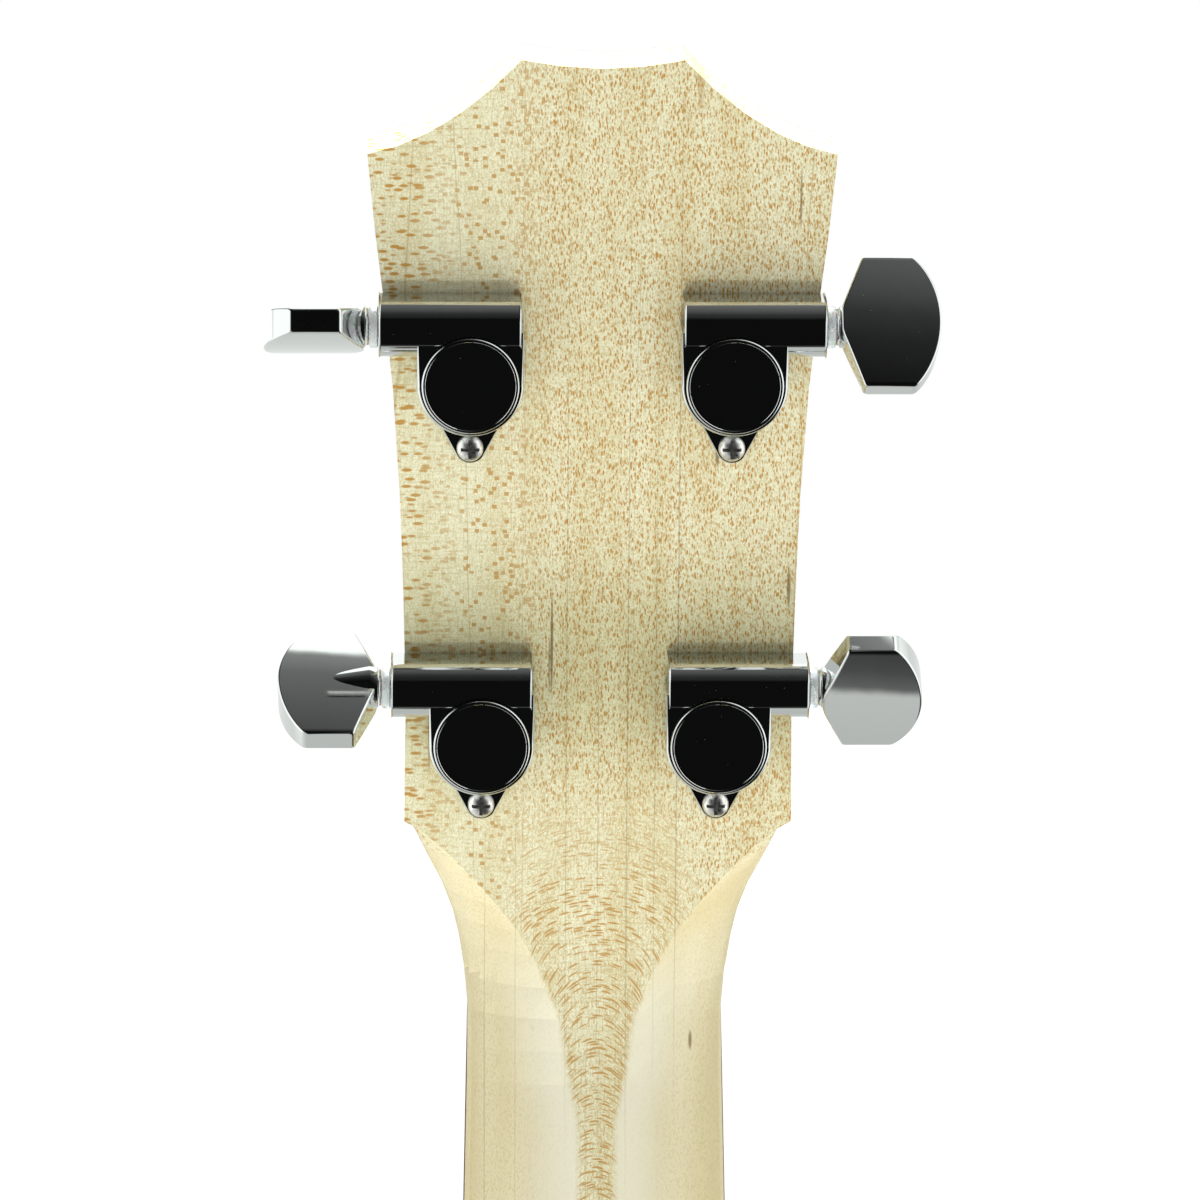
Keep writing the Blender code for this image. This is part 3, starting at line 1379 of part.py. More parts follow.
def make_post(name, side, frame):
    """The string post, with its wheel fixed near its lower end."""
    face = HEAD_THICK
    foot = -WORM_HEIGHT - GEAR_FACE / 2.0
    waist_top = wrap_heights(name)[-1] + STRINGS[name][1] / 2.0 + STRING_GAP
    top = face + POST_ABOVE_FACE
    profile = [
        (foot - 0.0009, POST_RADIUS * 0.45),
        (foot + 0.0005, POST_RADIUS * 0.45),
        (foot + 0.0005, POST_RADIUS),
        (face + WRAP_START - 0.0006, POST_RADIUS),
        (face + WRAP_START, POST_WAIST_RADIUS),
        (waist_top, POST_WAIST_RADIUS),
        (waist_top + 0.0020, POST_TOP_RADIUS),
        (top - 0.0006, POST_TOP_RADIUS),
        (top, POST_TOP_RADIUS * 0.85),
    ]
    post = turned(f"tuner_post_{name}", profile, chrome(), steps=14, parent=frame)
    wheel = loft(f"wheel_{name}", gear_rings(), None, frame)
    combine(post, handed(wheel, side), "UNION")
    radius = STRINGS[name][1] / 2.0 + STRING_GAP
    angle, height = post_hole(name)
    reach = POST_TOP_RADIUS * 2.0
    hole = turned(f"string_hole_{name}", [(-reach, radius), (reach, radius)], None, axis="X", steps=12)
    hole.data.transform(Matrix.Rotation(angle, 4, "Z"))
    hole.data.transform(Matrix.Translation((0.0, 0.0, height)))
    hole.parent = frame
    combine(post, handed(hole, side))
    return handed(post, side)


def make_bushing(name, side, frame):
    """The flanged bush round the post, pressed in from the front."""
    face = HEAD_THICK + GAP
    bore = POST_RADIUS + GAP
    profile = [
        (face - BUSHING_DEPTH, bore),
        (face - BUSHING_DEPTH, BUSHING_RADIUS),
        (face, BUSHING_RADIUS),
        (face, BUSHING_FLANGE_RADIUS),
        (face + BUSHING_FLANGE_THICK * 0.6, BUSHING_FLANGE_RADIUS),
        (face + BUSHING_FLANGE_THICK, BUSHING_FLANGE_RADIUS * 0.85),
        (face + BUSHING_FLANGE_THICK, bore),
    ]
    ring_of(f"tuner_bushing_{name}", profile, chrome(), steps=14, parent=frame)


def make_screw(name, side, frame):
    """The small screw through the housing's ear."""
    seat = -GAP - EAR_THICK - GAP
    profile = [
        (seat - SCREW_HEAD_HEIGHT, SCREW_HEAD_RADIUS * 0.55),
        (seat - SCREW_HEAD_HEIGHT * 0.55, SCREW_HEAD_RADIUS * 0.9),
        (seat, SCREW_HEAD_RADIUS),
        (seat, SCREW_RADIUS),
        (seat + SCREW_LENGTH - 0.002, SCREW_RADIUS),
        (seat + SCREW_LENGTH, SCREW_RADIUS * 0.3),
    ]
    at = (0.0, SCREW_Y, 0.0)
    turned(f"tuner_screw_{name}", profile, chrome(), steps=8, origin=at, parent=frame)


def make_tuner(name, neck, veneer):
    side, matrix = tuner_place(name)
    frame = empty(f"tuner_axis_{name}", matrix)
    axis = Matrix.Translation((0.0, CENTRE_DISTANCE, -WORM_HEIGHT))
    worm_axis = empty(f"worm_axis_{name}", axis, frame)
    make_housing(name, side, frame)
    make_cover(name, side, frame)
    worm_mesh(f"tuner_worm_{name}", side, worm_axis)
    make_button(name, side, worm_axis, STRINGS[name][4])
    make_post(name, side, frame)
    make_bushing(name, side, frame)
    make_screw(name, side, frame)
    clear = BUSHING_RADIUS + GAP
    post_profile = [(-0.003, clear), (HEAD_THICK + 0.003, clear)]
    post = turned(f"head_post_hole_{name}", post_profile, None, steps=14, parent=frame)
    combine(neck, post)
    combine(veneer, post)
    screw_profile = [(-0.003, SCREW_RADIUS + GAP), (SCREW_LENGTH, SCREW_RADIUS + GAP)]
    at = (0.0, SCREW_Y, 0.0)
    screw = turned(f"head_screw_hole_{name}", screw_profile, None, steps=8, origin=at, parent=frame)
    combine(neck, screw)


# Windings, in the frame of each tuner as drawn for the treble side

def wrap_radius(name):
    return POST_WAIST_RADIUS + GAP + STRINGS[name][1] / 2.0


def wrap_height(name, turn):
    """The string's height after this many turns: even wraps, then half a turn up to the hole."""
    diameter = STRINGS[name][1]
    pitch = diameter + STRING_GAP
    start = HEAD_THICK + WRAP_START + diameter / 2.0
    last = WRAPS[name] - 0.5
    if turn <= last:
        return start + pitch * turn
    share = (turn - last) / 0.5
    return start + pitch * (last + 1.5 * share * share * (3.0 - 2.0 * share))


def wrap_heights(name):
    return [wrap_height(name, 0.0), wrap_height(name, WRAPS[name])]


def winding_frame(name):
    """The nut's point in the tuner's frame, and the angle at which the string meets the post."""
    side, matrix = tuner_place(name)
    point = matrix.inverted() @ nut_point(name)
    point.x *= side
    away = math.atan2(point.y, point.x) % (2.0 * math.pi)
    angle = away - math.acos(wrap_radius(name) / math.hypot(point.x, point.y))
    return side, matrix, angle


def winding_start(name):
    """Where the string first touches its post, in world space."""
    side, matrix, angle = winding_frame(name)
    radius = wrap_radius(name)
    local = Vector((side * radius * math.cos(angle), radius * math.sin(angle), wrap_height(name, 0.0)))
    return matrix @ local


def hole_bend(name):
    """The radius of the string's bend into the hole, and how far round it lies from the last wrap."""
    bend = max(STRINGS[name][1] * 0.75, 0.0012)
    spare = wrap_radius(name) - bend
    return bend, spare, math.asin(bend / spare)


def post_hole(name):
    """The direction and height of the string's hole through its post."""
    angle = winding_frame(name)[2]
    return angle - 2.0 * math.pi * WRAPS[name] - hole_bend(name)[2], wrap_height(name, WRAPS[name])


def winding_points(name):
    """The string round its post, into the hole and out of its far side."""
    side, matrix, start = winding_frame(name)
    radius = wrap_radius(name)
    local = []
    steps = round(WRAPS[name] * WRAP_POINTS)
    for step in range(steps + 1):
        turn = WRAPS[name] * step / steps
        angle = start - 2.0 * math.pi * turn
        local.append((radius * math.cos(angle), radius * math.sin(angle), wrap_height(name, turn)))
    bend, spare, lean = hole_bend(name)
    end = start - 2.0 * math.pi * WRAPS[name]
    height = wrap_height(name, WRAPS[name])
    for step in range(1, BEND_POINTS + 1):
        angle = end - (math.pi / 2.0 + lean) * step / BEND_POINTS
        local.append((
            spare * math.cos(end) + bend * math.cos(angle),
            spare * math.sin(end) + bend * math.sin(angle),
            height,
        ))
    way = end - lean
    out = POST_WAIST_RADIUS + TAIL_PAST_POST
    for reach in (0.0, -POST_WAIST_RADIUS * 0.6, -out):
        local.append((reach * math.cos(way), reach * math.sin(way), height))
    return [matrix @ Vector((side * x, y, z)) for x, y, z in local]


def string_points(name):
    """The whole string, from its end under the bridge plate to its tail past the post."""
    order, diameter = STRINGS[name][:2]
    x = string_x(order, BRIDGE_SPREAD)
    radius = diameter / 2.0
    front = FACE_Y - GAP - BRIDGE_THICK
    z = PIN_Z + string_drop(name)
    turn_y = front + RAMP_DEPTH
    over = Vector((x, string_bottom(SADDLE_Z) - radius, SADDLE_Z))
    points = [Vector((x, TOP_INNER_Y + PLATE_THICK + STRING_END_REACH, z)), Vector((x, turn_y, z))]
    # The last angle of the bend is the one whose tangent runs to the top of the saddle
    bend = STRING_BEND
    reach_z, reach_y = over.z - (z + bend), over.y - turn_y
    away = math.atan2(reach_z, -reach_y)
    last = away + math.asin(bend / math.hypot(reach_z, reach_y))
    for step in range(1, 5):
        angle = last * step / 4.0
        points.append(Vector((x, turn_y - bend * math.sin(angle), z + bend * (1.0 - math.cos(angle)))))
    points.append(over)
    points.append(nut_point(name))
    return points + winding_points(name)


def least_gap(points, diameter):
    """The least clear distance between stretches of one string that lie apart along it."""
    along = [0.0]
    for first, second in zip(points, points[1:]):
        along.append(along[-1] + (second - first).length)
    least = math.inf
    for i, first in enumerate(points):
        for j in range(i + 1, len(points)):
            if along[j] - along[i] > diameter * math.pi:
                least = min(least, (points[j] - first).length - diameter)
    return least


def make_string(name):
    diameter = STRINGS[name][1]
    points = string_points(name)
    curve = bpy.data.curves.new(f"string_{name}", "CURVE")
    curve.dimensions = "3D"
    curve.bevel_depth = diameter / 2.0
    curve.bevel_resolution = 1
    curve.use_fill_caps = True
    curve.twist_mode = "MINIMUM"
    spline = curve.splines.new("POLY")
    spline.points.add(len(points) - 1)
    for knot, point in zip(spline.points, points):
        knot.co = (*point, 1.0)
    curve.materials.append(bronze())
    piece = bpy.data.objects.new(f"string_{name}", curve)
    bpy.context.scene.collection.objects.link(piece)
    print(f"string_{name}: least gap {least_gap(points, diameter) * 1000.0:.2f} mm")


def main():
    clear_scene()
    neck = make_neck()
    veneer = make_veneer()
    for name in STRINGS:
        make_tuner(name, neck, veneer)
    make_fingerboard()
    make_nut()
    make_truss_rod()
    make_cover_plate()
    make_soundboard()
    make_back()
    make_side("side_treble", 1)
    make_side("side_bass", -1)
    make_blocks()
    make_x_brace("x_brace_bass", 1, True)
    make_x_brace("x_brace_treble", -1, False)
    make_transverse_brace()
    for index, (from_joint, half) in enumerate(BACK_BRACES):
        make_back_brace(f"back_brace_{index + 1}", from_joint, half)
    make_bridge()
    make_bridge_plate()
    make_strap_button()
    make_heel_bolts()
    for name in STRINGS:
        make_string(name)


main()
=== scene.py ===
"""Looks of the acoustic bass guitar: materials, light and the fine pieces that ride on its frame."""

from math import acos, asin, atan2, cos, dist, hypot, pi, radians, sin, sqrt

import bmesh
import bpy
from mathutils import Matrix, Vector


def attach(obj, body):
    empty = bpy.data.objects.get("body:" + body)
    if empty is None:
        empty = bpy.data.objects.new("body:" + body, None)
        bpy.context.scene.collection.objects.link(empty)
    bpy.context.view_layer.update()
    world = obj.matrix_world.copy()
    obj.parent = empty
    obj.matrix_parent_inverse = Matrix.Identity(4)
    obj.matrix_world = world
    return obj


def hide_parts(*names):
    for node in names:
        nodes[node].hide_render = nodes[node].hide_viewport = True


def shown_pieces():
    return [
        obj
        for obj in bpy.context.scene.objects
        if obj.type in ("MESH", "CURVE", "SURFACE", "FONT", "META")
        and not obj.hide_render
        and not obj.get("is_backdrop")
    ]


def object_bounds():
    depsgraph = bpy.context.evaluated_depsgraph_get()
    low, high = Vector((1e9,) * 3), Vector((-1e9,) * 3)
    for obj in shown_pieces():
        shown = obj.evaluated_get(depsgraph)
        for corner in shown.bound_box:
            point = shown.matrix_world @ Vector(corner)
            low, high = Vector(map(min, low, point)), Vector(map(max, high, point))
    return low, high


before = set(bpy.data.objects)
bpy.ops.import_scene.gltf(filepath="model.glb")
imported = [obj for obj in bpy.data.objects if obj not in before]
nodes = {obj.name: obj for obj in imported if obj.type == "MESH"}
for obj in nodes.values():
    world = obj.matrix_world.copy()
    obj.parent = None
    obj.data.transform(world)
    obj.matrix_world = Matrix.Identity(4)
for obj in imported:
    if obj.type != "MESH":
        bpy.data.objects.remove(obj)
cad_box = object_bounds()

# Sizes shared with the part's source, in metres
GAP = 0.0003
STRING_GAP = 0.0006
SCALE_LENGTH = 0.597
FRETS = 20
COMPENSATION = 0.004
NUT_SPREAD = 0.033
BRIDGE_SPREAD = 0.051
NUT_STRING_LIFT = 0.0006
SADDLE_STRING_LIFT = 0.0052
STRINGS = {
    # name: (order from the bass side, diameter, head side, tuner row, button angle)
    "e": (0, 0.00267, -1, "lower", -31.0),
    "a": (1, 0.00216, -1, "upper", 34.0),
    "d": (2, 0.00165, 1, "upper", -69.0),
    "g": (3, 0.00114, 1, "lower", -121.0),
}
NUT_END_Z = -0.02
NUT_THICK = 0.0048
NUT_WIDTH = 0.0429
JOINT_WIDTH = 0.056
FACE_Y = -0.012
BOARD_THICK = 0.006
FRET_HEIGHT = 0.0012
FRET_WIDTH = 0.0026
HEAD_ANGLE = radians(15.0)
HEAD_THICK = 0.015
BODY_FRET = 14
BODY_LENGTH = 0.4477
LOWER_BOUT = 0.365
WAIST = 0.22
UPPER_BOUT = 0.26
UPPER_BOUT_AT = 0.195
WAIST_AT = 0.425
LOWER_BOUT_AT = 0.735
DEPTH_AT_NECK = 0.092
DEPTH_AT_TAIL = 0.108
BACK_DOME_RADIUS = 3.5
TOP_THICK = 0.003
BACK_THICK = 0.003
SIDE_THICK = 0.0025
SOUNDHOLE_FROM_JOINT = 0.137
BRIDGE_THICK = 0.0092
PIN_BEHIND_SADDLE = 0.014
PIN_RADIUS = 0.0026
PLATE_THICK = 0.0025
RAMP_DEPTH = 0.003
COVER_PLATE_THICK = 0.0018
TUNER_X = {"upper": 0.02135, "lower": 0.0194}
TUNER_V = {"upper": 0.10685, "lower": 0.04625}
CENTRE_DISTANCE = 0.0087
WORM_HEIGHT = 0.0052
TUBE_OUTER_X = 0.0148
BUTTON_START = 0.0172
STEM_RADIUS = 0.0019
BOWL_RADIUS = 0.0086
BOWL_HEIGHT = 0.0096
BASE_THICK = 0.0012
CAVITY_RADIUS = 0.0073
COVER_RADIUS = 0.0079
COVER_THICK = 0.0009
COVER_PLUG = 0.001
COVER_RIM = 0.0006
TUBE_HALF = 0.0045
TUBE_CHAMFER = 0.0024
TUBE_RISE = 0.00004
TUBE_INNER_X = 0.0082
TUBE_END_WALL = 0.001
WORM_BORE_RADIUS = 0.0032
STEM_REACH = 0.024
BUTTON_LENGTH = 0.0162
BUTTON_HALF_HEIGHT = 0.0113
BUTTON_EDGE_THICK = 0.0039
BUTTON_SWELL = 0.0012
BUTTON_OFFSET = 0.0007
BUTTON_BASE_HALF = 0.002
BUTTON_SHOULDER_X = 0.0036
BUTTON_EDGE_END_X = 0.0116
BUTTON_BOSS_RADIUS = 0.0035
BUTTON_BOSS_TIP_RADIUS = 0.0022
BUTTON_BOSS_LENGTH = 0.0085
BUTTON_ROUND = 0.0004
EAR_RADIUS = 0.0026
SCREW_Y = -0.0123
SCREW_RADIUS = 0.0012
SCREW_HEAD_RADIUS = 0.0022
SCREW_HEAD_HEIGHT = 0.0016
SCREW_LENGTH = 0.0105
EAR_THICK = 0.0015
POST_WAIST_RADIUS = 0.0037
WRAP_START = 0.0024
WRAPS = {"e": 1.75, "a": 2.0, "d": 2.25, "g": 2.5}
TAIL_PAST_POST = 0.0022
STRING_BEND = 0.003
STRING_END_REACH = 0.003

# Worked out from the sizes above
PIVOT_Z = NUT_END_Z + NUT_THICK
HEAD_UP = Vector((0.0, sin(HEAD_ANGLE), cos(HEAD_ANGLE)))
HEAD_BACK = Vector((0.0, cos(HEAD_ANGLE), -sin(HEAD_ANGLE)))
PIVOT = Vector((0.0, FACE_Y, PIVOT_Z))
JOINT_Z = NUT_END_Z - SCALE_LENGTH * (1.0 - 2.0 ** (-BODY_FRET / 12.0))
SADDLE_Z = NUT_END_Z - SCALE_LENGTH - COMPENSATION
TAIL_Z = JOINT_Z - BODY_LENGTH
HOLE_Z = JOINT_Z - SOUNDHOLE_FROM_JOINT
PIN_Z = SADDLE_Z - PIN_BEHIND_SADDLE
BOARD_FRONT_Y = FACE_Y - GAP - BOARD_THICK
FRET_TOP_Y = BOARD_FRONT_Y - FRET_HEIGHT
TOP_INNER_Y = FACE_Y + TOP_THICK
# Turns a profile's x axis to the frame's z axis
UPRIGHT = Matrix.Rotation(-pi / 2.0, 4, "Y")


# Materials

class Nodes:
    """A short way to lay out a tree of shader nodes."""

    def __init__(self, tree, kind):
        self.tree = tree
        place = self.make("ShaderNodeTexCoord").outputs[kind]
        self.x, self.y, self.z = self.make("ShaderNodeSeparateXYZ", Vector=place).outputs

    def make(self, kind, inputs=None, **sockets):
        node = self.tree.nodes.new(kind)
        for key, value in {**(inputs or {}), **sockets}.items():
            self.feed(node.inputs[key], value)
        return node

    def feed(self, socket, value):
        if isinstance(value, bpy.types.NodeSocket):
            self.tree.links.new(value, socket)
        else:
            socket.default_value = value

    def math(self, operation, *values):
        node = self.tree.nodes.new("ShaderNodeMath")
        node.operation = operation
        for socket, value in zip(node.inputs, values):
            self.feed(socket, value)
        return node.outputs[0]

    def times(self, *values):
        result = values[0]
        for value in values[1:]:
            result = self.math("MULTIPLY", result, value)
        return result

    def join(self, x, y, z):
        return self.make("ShaderNodeCombineXYZ", X=x, Y=y, Z=z).outputs[0]

    def spread(self, place):
        """A place as it is, or the own place in metres divided by these three sizes."""
        if isinstance(place, bpy.types.NodeSocket):
            return place
        own = (self.x, self.y, self.z)
        return self.join(*(self.math("DIVIDE", at, size) for at, size in zip(own, place)))

    def noise(self, place, detail=2.0, warp=0.0):
        sockets = {"Vector": self.spread(place), "Scale": 1.0, "Detail": detail, "Distortion": warp}
        return self.make("ShaderNodeTexNoise", sockets).outputs[0]

    def cells(self, place, metric="EUCLIDEAN"):
        """How far the nearest cell's middle is, and that cell's own random colour."""
        node = self.make("ShaderNodeTexVoronoi", {"Vector": self.spread(place), "Scale": 1.0})
        node.distance = metric
        return node.outputs["Distance"], node.outputs["Color"]

    def flecks(self, place, size, kept, metric="EUCLIDEAN"):
        """A soft fleck in every cell whose random colour is high enough."""
        away, tint = self.cells(place, metric)
        return self.times(self.ramp(away, *size), self.ramp(tint, *kept))

    def ramp(self, value, low, high, start=0.0, end=1.0, smooth=True):
        sockets = {"Value": value, "From Min": low, "From Max": high, "To Min": start, "To Max": end}
        node = self.make("ShaderNodeMapRange", sockets)
        node.interpolation_type = "SMOOTHSTEP" if smooth else "LINEAR"
        return node.outputs[0]

    def blend(self, share, first, second, kind="MIX"):
        node = self.tree.nodes.new("ShaderNodeMix")
        node.data_type = "RGBA"
        node.blend_type = kind
        node.clamp_factor = True
        self.feed(node.inputs[0], share)
        for socket, value in zip((node.inputs[6], node.inputs[7]), (first, second)):
            self.feed(socket, (*value, 1.0) if isinstance(value, tuple) else value)
        return node.outputs[2]

    def lay(self, colour, tone, *shares):
        """A tone over a colour, as far as the product of these shares goes."""
        return self.blend(self.times(*shares), colour, tone)

    def curve(self, value, stops, tint=(1.0, 1.0, 1.0)):
        """A value read off straight lines between (place, height) stops."""
        node = self.make("ShaderNodeValToRGB", {0: value})
        band = node.color_ramp
        for index, (at, height) in enumerate(stops):
            stop = band.elements[index] if index < 2 else band.elements.new(at)
            stop.position = at
            stop.color = (*(height * part for part in tint), 1.0)
        return node.outputs["Color"]


class Shader(Nodes):
    """The nodes of one material."""

    def __init__(self, name):
        self.material = bpy.data.materials.new(name)
        self.material.use_nodes = True
        super().__init__(self.material.node_tree, "Object")
        self.surface = self.tree.nodes["Principled BSDF"]

    def finish(self, colour, roughness, relief=None, **values):
        """The material itself. Relief is a height, how deep its bumps are, and their strength."""
        values.update(Base_Color=colour, Roughness=roughness)
        if relief:
            sockets = dict(zip(("Height", "Distance", "Strength"), relief))
            values["Normal"] = self.make("ShaderNodeBump", sockets).outputs[0]
        for key, value in values.items():
            self.feed(self.surface.inputs[key.replace("_", " ")], value)
        return self.material


# Half the tongue's width between two heights: (share of the way up, width in units)
TONGUE_LOW, TONGUE_HIGH, TONGUE_UNIT = -0.04, 0.01, 0.03
TONGUE = (
    (0.0, 0.1),
    (0.14, 0.157),
    (0.34, 0.203),
    (0.53, 0.337),
    (0.65, 0.45),
    (0.76, 0.607),
    (0.88, 0.8),
    (1.0, 1.3),
)
# The plainest seams, a knot and grain lines: (x, z, half width, half length, strength)
STREAKS = (
    (0.0078, 0.0398, 0.00028, 0.0105, 0.85),
    (0.0082, 0.036, 0.00022, 0.006, 0.6),
    (-0.0191, 0.0708, 0.00042, 0.0026, 0.8),
    (-0.0322, 0.112, 0.00026, 0.006, 0.7),
    (-0.0311, 0.049, 0.0004, 0.0042, 0.75),
    (0.028, 0.023, 0.00018, 0.006, 0.5),
    (-0.0158, -0.0268, 0.0004, 0.002, 0.8),
    (0.0187, -0.03, 0.00013, 0.05, 0.3),
    (0.0136, -0.02, 0.0001, 0.06, 0.24),
    (0.0053, 0.03, 0.00012, 0.09, 0.34),
    (0.0000, 0.01, 0.00012, 0.06, 0.3),
    (-0.0048, 0.03, 0.00014, 0.1, 0.36),
    (-0.0094, 0.03, 0.00012, 0.08, 0.3),
    (-0.013, 0.05, 0.00016, 0.1, 0.42),
)
STREAK_TONE = (0.19, 0.1, 0.022)
LINE_TONE = (0.52, 0.4, 0.19)


def streak(s, x, z, half_width, half_length):
    """A soft dark line along the grain, centred at this place."""
    across = s.math("DIVIDE", s.math("SUBTRACT", s.x, x), half_width)
    along = s.math("DIVIDE", s.math("SUBTRACT", s.z, z), half_length)
    return s.ramp(s.math("ADD", s.times(across, across), s.times(along, along)), 1.0, 0.1)


def neck_maple():
    """Pale maple of the neck: flecks on the flat of the head and down the tongue, and smooth tan sides."""
    s = Shader("neck_maple")
    wobble = s.times(s.math("SUBTRACT", s.noise((0.012, 0.012, 0.03)), 0.5), 0.0016)
    wavy = s.math("ADD", s.x, wobble)

    def grid(x, y, z, along=s.z):
        return s.join(s.math("DIVIDE", wavy, x), s.math("DIVIDE", s.y, y), s.math("DIVIDE", along, z))

    left = s.ramp(s.x, -0.004, 0.03)
    edge = s.ramp(s.x, 0.02, 0.032)
    # The flat of the head narrows to a tongue down the neck
    half = s.curve(s.ramp(s.z, TONGUE_LOW, TONGUE_HIGH, smooth=False), TONGUE)
    beside = s.math("ABSOLUTE", s.x)
    past = s.math("SUBTRACT", beside, s.times(half, TONGUE_UNIT))
    flat = s.ramp(past, 0.0009, -0.0007)
    tongue = s.times(s.ramp(s.z, 0.022, -0.004), s.ramp(beside, 0.019, 0.01))
    # Short dashes along the grain, larger and blockier towards the treble side
    dashes = s.flecks(grid(0.00046, 0.0011, 0.0013), (0.4, 0.24), (0.12, 0.32))
    specks = s.flecks(grid(0.00034, 0.0008, 0.00074), (0.5, 0.24), (0.1, 0.5))
    blocks = s.flecks(grid(0.0015, 0.0016, 0.00125), (0.28, 0.21), (0.1, 0.3), "CHEBYCHEV")
    sideways = s.flecks(grid(0.0024, 0.003, 0.0008), (0.44, 0.26), (0.1, 0.35))
    # Arches where the growth layers come out at the tongue
    bend = s.ramp(s.z, -0.004, -0.028, 24.0, 120.0)
    arch_z = s.math("ADD", s.z, s.times(bend, s.x, s.x))
    arches = s.flecks(grid(0.0026, 0.004, 0.00048, arch_z), (0.44, 0.26), (0.05, 0.35))
    fleck = s.times(dashes, s.ramp(left, 0.85, 0.25))
    for layer in (
        s.times(specks, s.ramp(left, 1.0, 0.2), 0.75),
        s.times(blocks, s.ramp(left, 0.2, 0.6), s.math("SUBTRACT", 1.0, edge), 0.85),
        s.times(sideways, edge),
    ):
        fleck = s.math("MAXIMUM", fleck, layer)
    fleck = s.times(fleck, s.math("MAXIMUM", s.math("SUBTRACT", 1.0, tongue), 0.45))
    fleck = s.math("MAXIMUM", fleck, s.times(arches, tongue, 0.9))
    # Fine threads along the grain, faint rays across it, and a few seams
    threads = s.noise(grid(0.00028, 0.0006, 0.03), detail=1.0)
    rays = s.noise(grid(0.007, 0.007, 0.00032), detail=1.0)
    bands = s.noise(grid(0.0052, 0.02, 0.3), detail=1.0)
    seam_at = s.join(s.math("DIVIDE", wavy, 0.011), 0.3, s.math("DIVIDE", s.z, 0.6))
    seam = s.math("ABSOLUTE", s.math("SUBTRACT", s.noise(seam_at, detail=0.0), 0.5))
    mottle = s.noise((0.00022, 0.00022, 0.00034), detail=1.0)
    ray_share = s.math("ADD", 0.1, s.times(s.math("MAXIMUM", left, tongue), 0.28))
    colour = s.blend(s.ramp(bands, 0.38, 0.66), (0.76, 0.69, 0.44), (0.7, 0.61, 0.35))
    colour = s.lay(colour, LINE_TONE, s.ramp(threads, 0.46, 0.66), 0.42)
    colour = s.lay(colour, (0.93, 0.85, 0.64), s.ramp(mottle, 0.5, 0.34), 0.45)
    colour = s.lay(colour, (0.5, 0.36, 0.14), s.ramp(mottle, 0.52, 0.7), 0.45)
    colour = s.lay(colour, (0.52, 0.41, 0.19), s.ramp(rays, 0.54, 0.7), ray_share)
    colour = s.lay(colour, (0.4, 0.27, 0.1), s.ramp(seam, 0.0045, 0.0), 0.5)
    colour = s.lay(colour, (0.5, 0.255, 0.045), fleck)
    # Sides of the neck, with a fine stipple, a painted highlight in a pale band beside the tongue, and a
    # few pin knots
    stipple = s.noise((0.0003, 0.0003, 0.00055), detail=1.0)
    broad = s.noise((0.01, 0.01, 0.06), detail=1.0)
    knot = s.cells((0.022, 0.022, 0.045))[0]
    near = s.ramp(past, 0.013, 0.002)
    sides = s.blend(s.ramp(broad, 0.35, 0.65), (0.75, 0.625, 0.375), (0.67, 0.535, 0.28))
    sides = s.lay(sides, LINE_TONE, s.ramp(stipple, 0.48, 0.66), 0.42)
    # Painted highlight: a pale band on the sides next to the tongue, fading in down the neck
    sides = s.lay(sides, (0.88, 0.83, 0.68), near, s.ramp(s.z, -0.002, -0.026), 0.55)
    sides = s.lay(sides, (0.26, 0.14, 0.045), s.ramp(knot, 0.03, 0.012), 0.6)
    colour = s.blend(flat, sides, colour)
    for *place, share in STREAKS:
        colour = s.lay(colour, STREAK_TONE, streak(s, *place), share)
    colour = s.blend(1.0, colour, (0.745, 0.805, 0.85), "MULTIPLY")
    # Shade between the lower tuners, which the lamps here don't give
    duller = s.ramp(s.math("ABSOLUTE", s.math("SUBTRACT", s.z, 0.036)), 0.026, 0.003)
    colour = s.blend(s.times(duller, 0.9), colour, (0.79, 0.8, 0.72), "MULTIPLY")
    grain = s.math("ADD", s.times(threads, 0.5), s.times(stipple, 0.5))
    rough = s.ramp(stipple, 0.2, 0.8, 0.5, 0.62)
    return s.finish(colour, rough, (grain, 0.00003, 0.6), Specular_IOR_Level=0.25)


def body_maple():
    """Pale maple of the back and sides, with soft figure and fine pores."""
    s = Shader("body_maple")
    bands = s.noise((0.01, 0.012, 0.45))
    waves = s.noise((0.07, 0.07, 0.007))
    threads = s.noise((0.0006, 0.0009, 0.06), detail=1.0)
    fleck = s.flecks((0.0007, 0.0012, 0.0022), (0.3, 0.12), (0.3, 0.8))
    colour = s.blend(s.ramp(bands, 0.35, 0.65), (0.76, 0.67, 0.43), (0.68, 0.57, 0.32))
    colour = s.lay(colour, (0.84, 0.77, 0.56), s.ramp(waves, 0.5, 0.62), 0.3)
    colour = s.lay(colour, (0.45, 0.33, 0.15), s.ramp(threads, 0.5, 0.7), 0.2)
    colour = s.lay(colour, (0.43, 0.29, 0.1), fleck, 0.45)
    return s.finish(colour, 0.38, (threads, 0.00003, 0.4), Coat_Weight=0.35, Coat_Roughness=0.16)


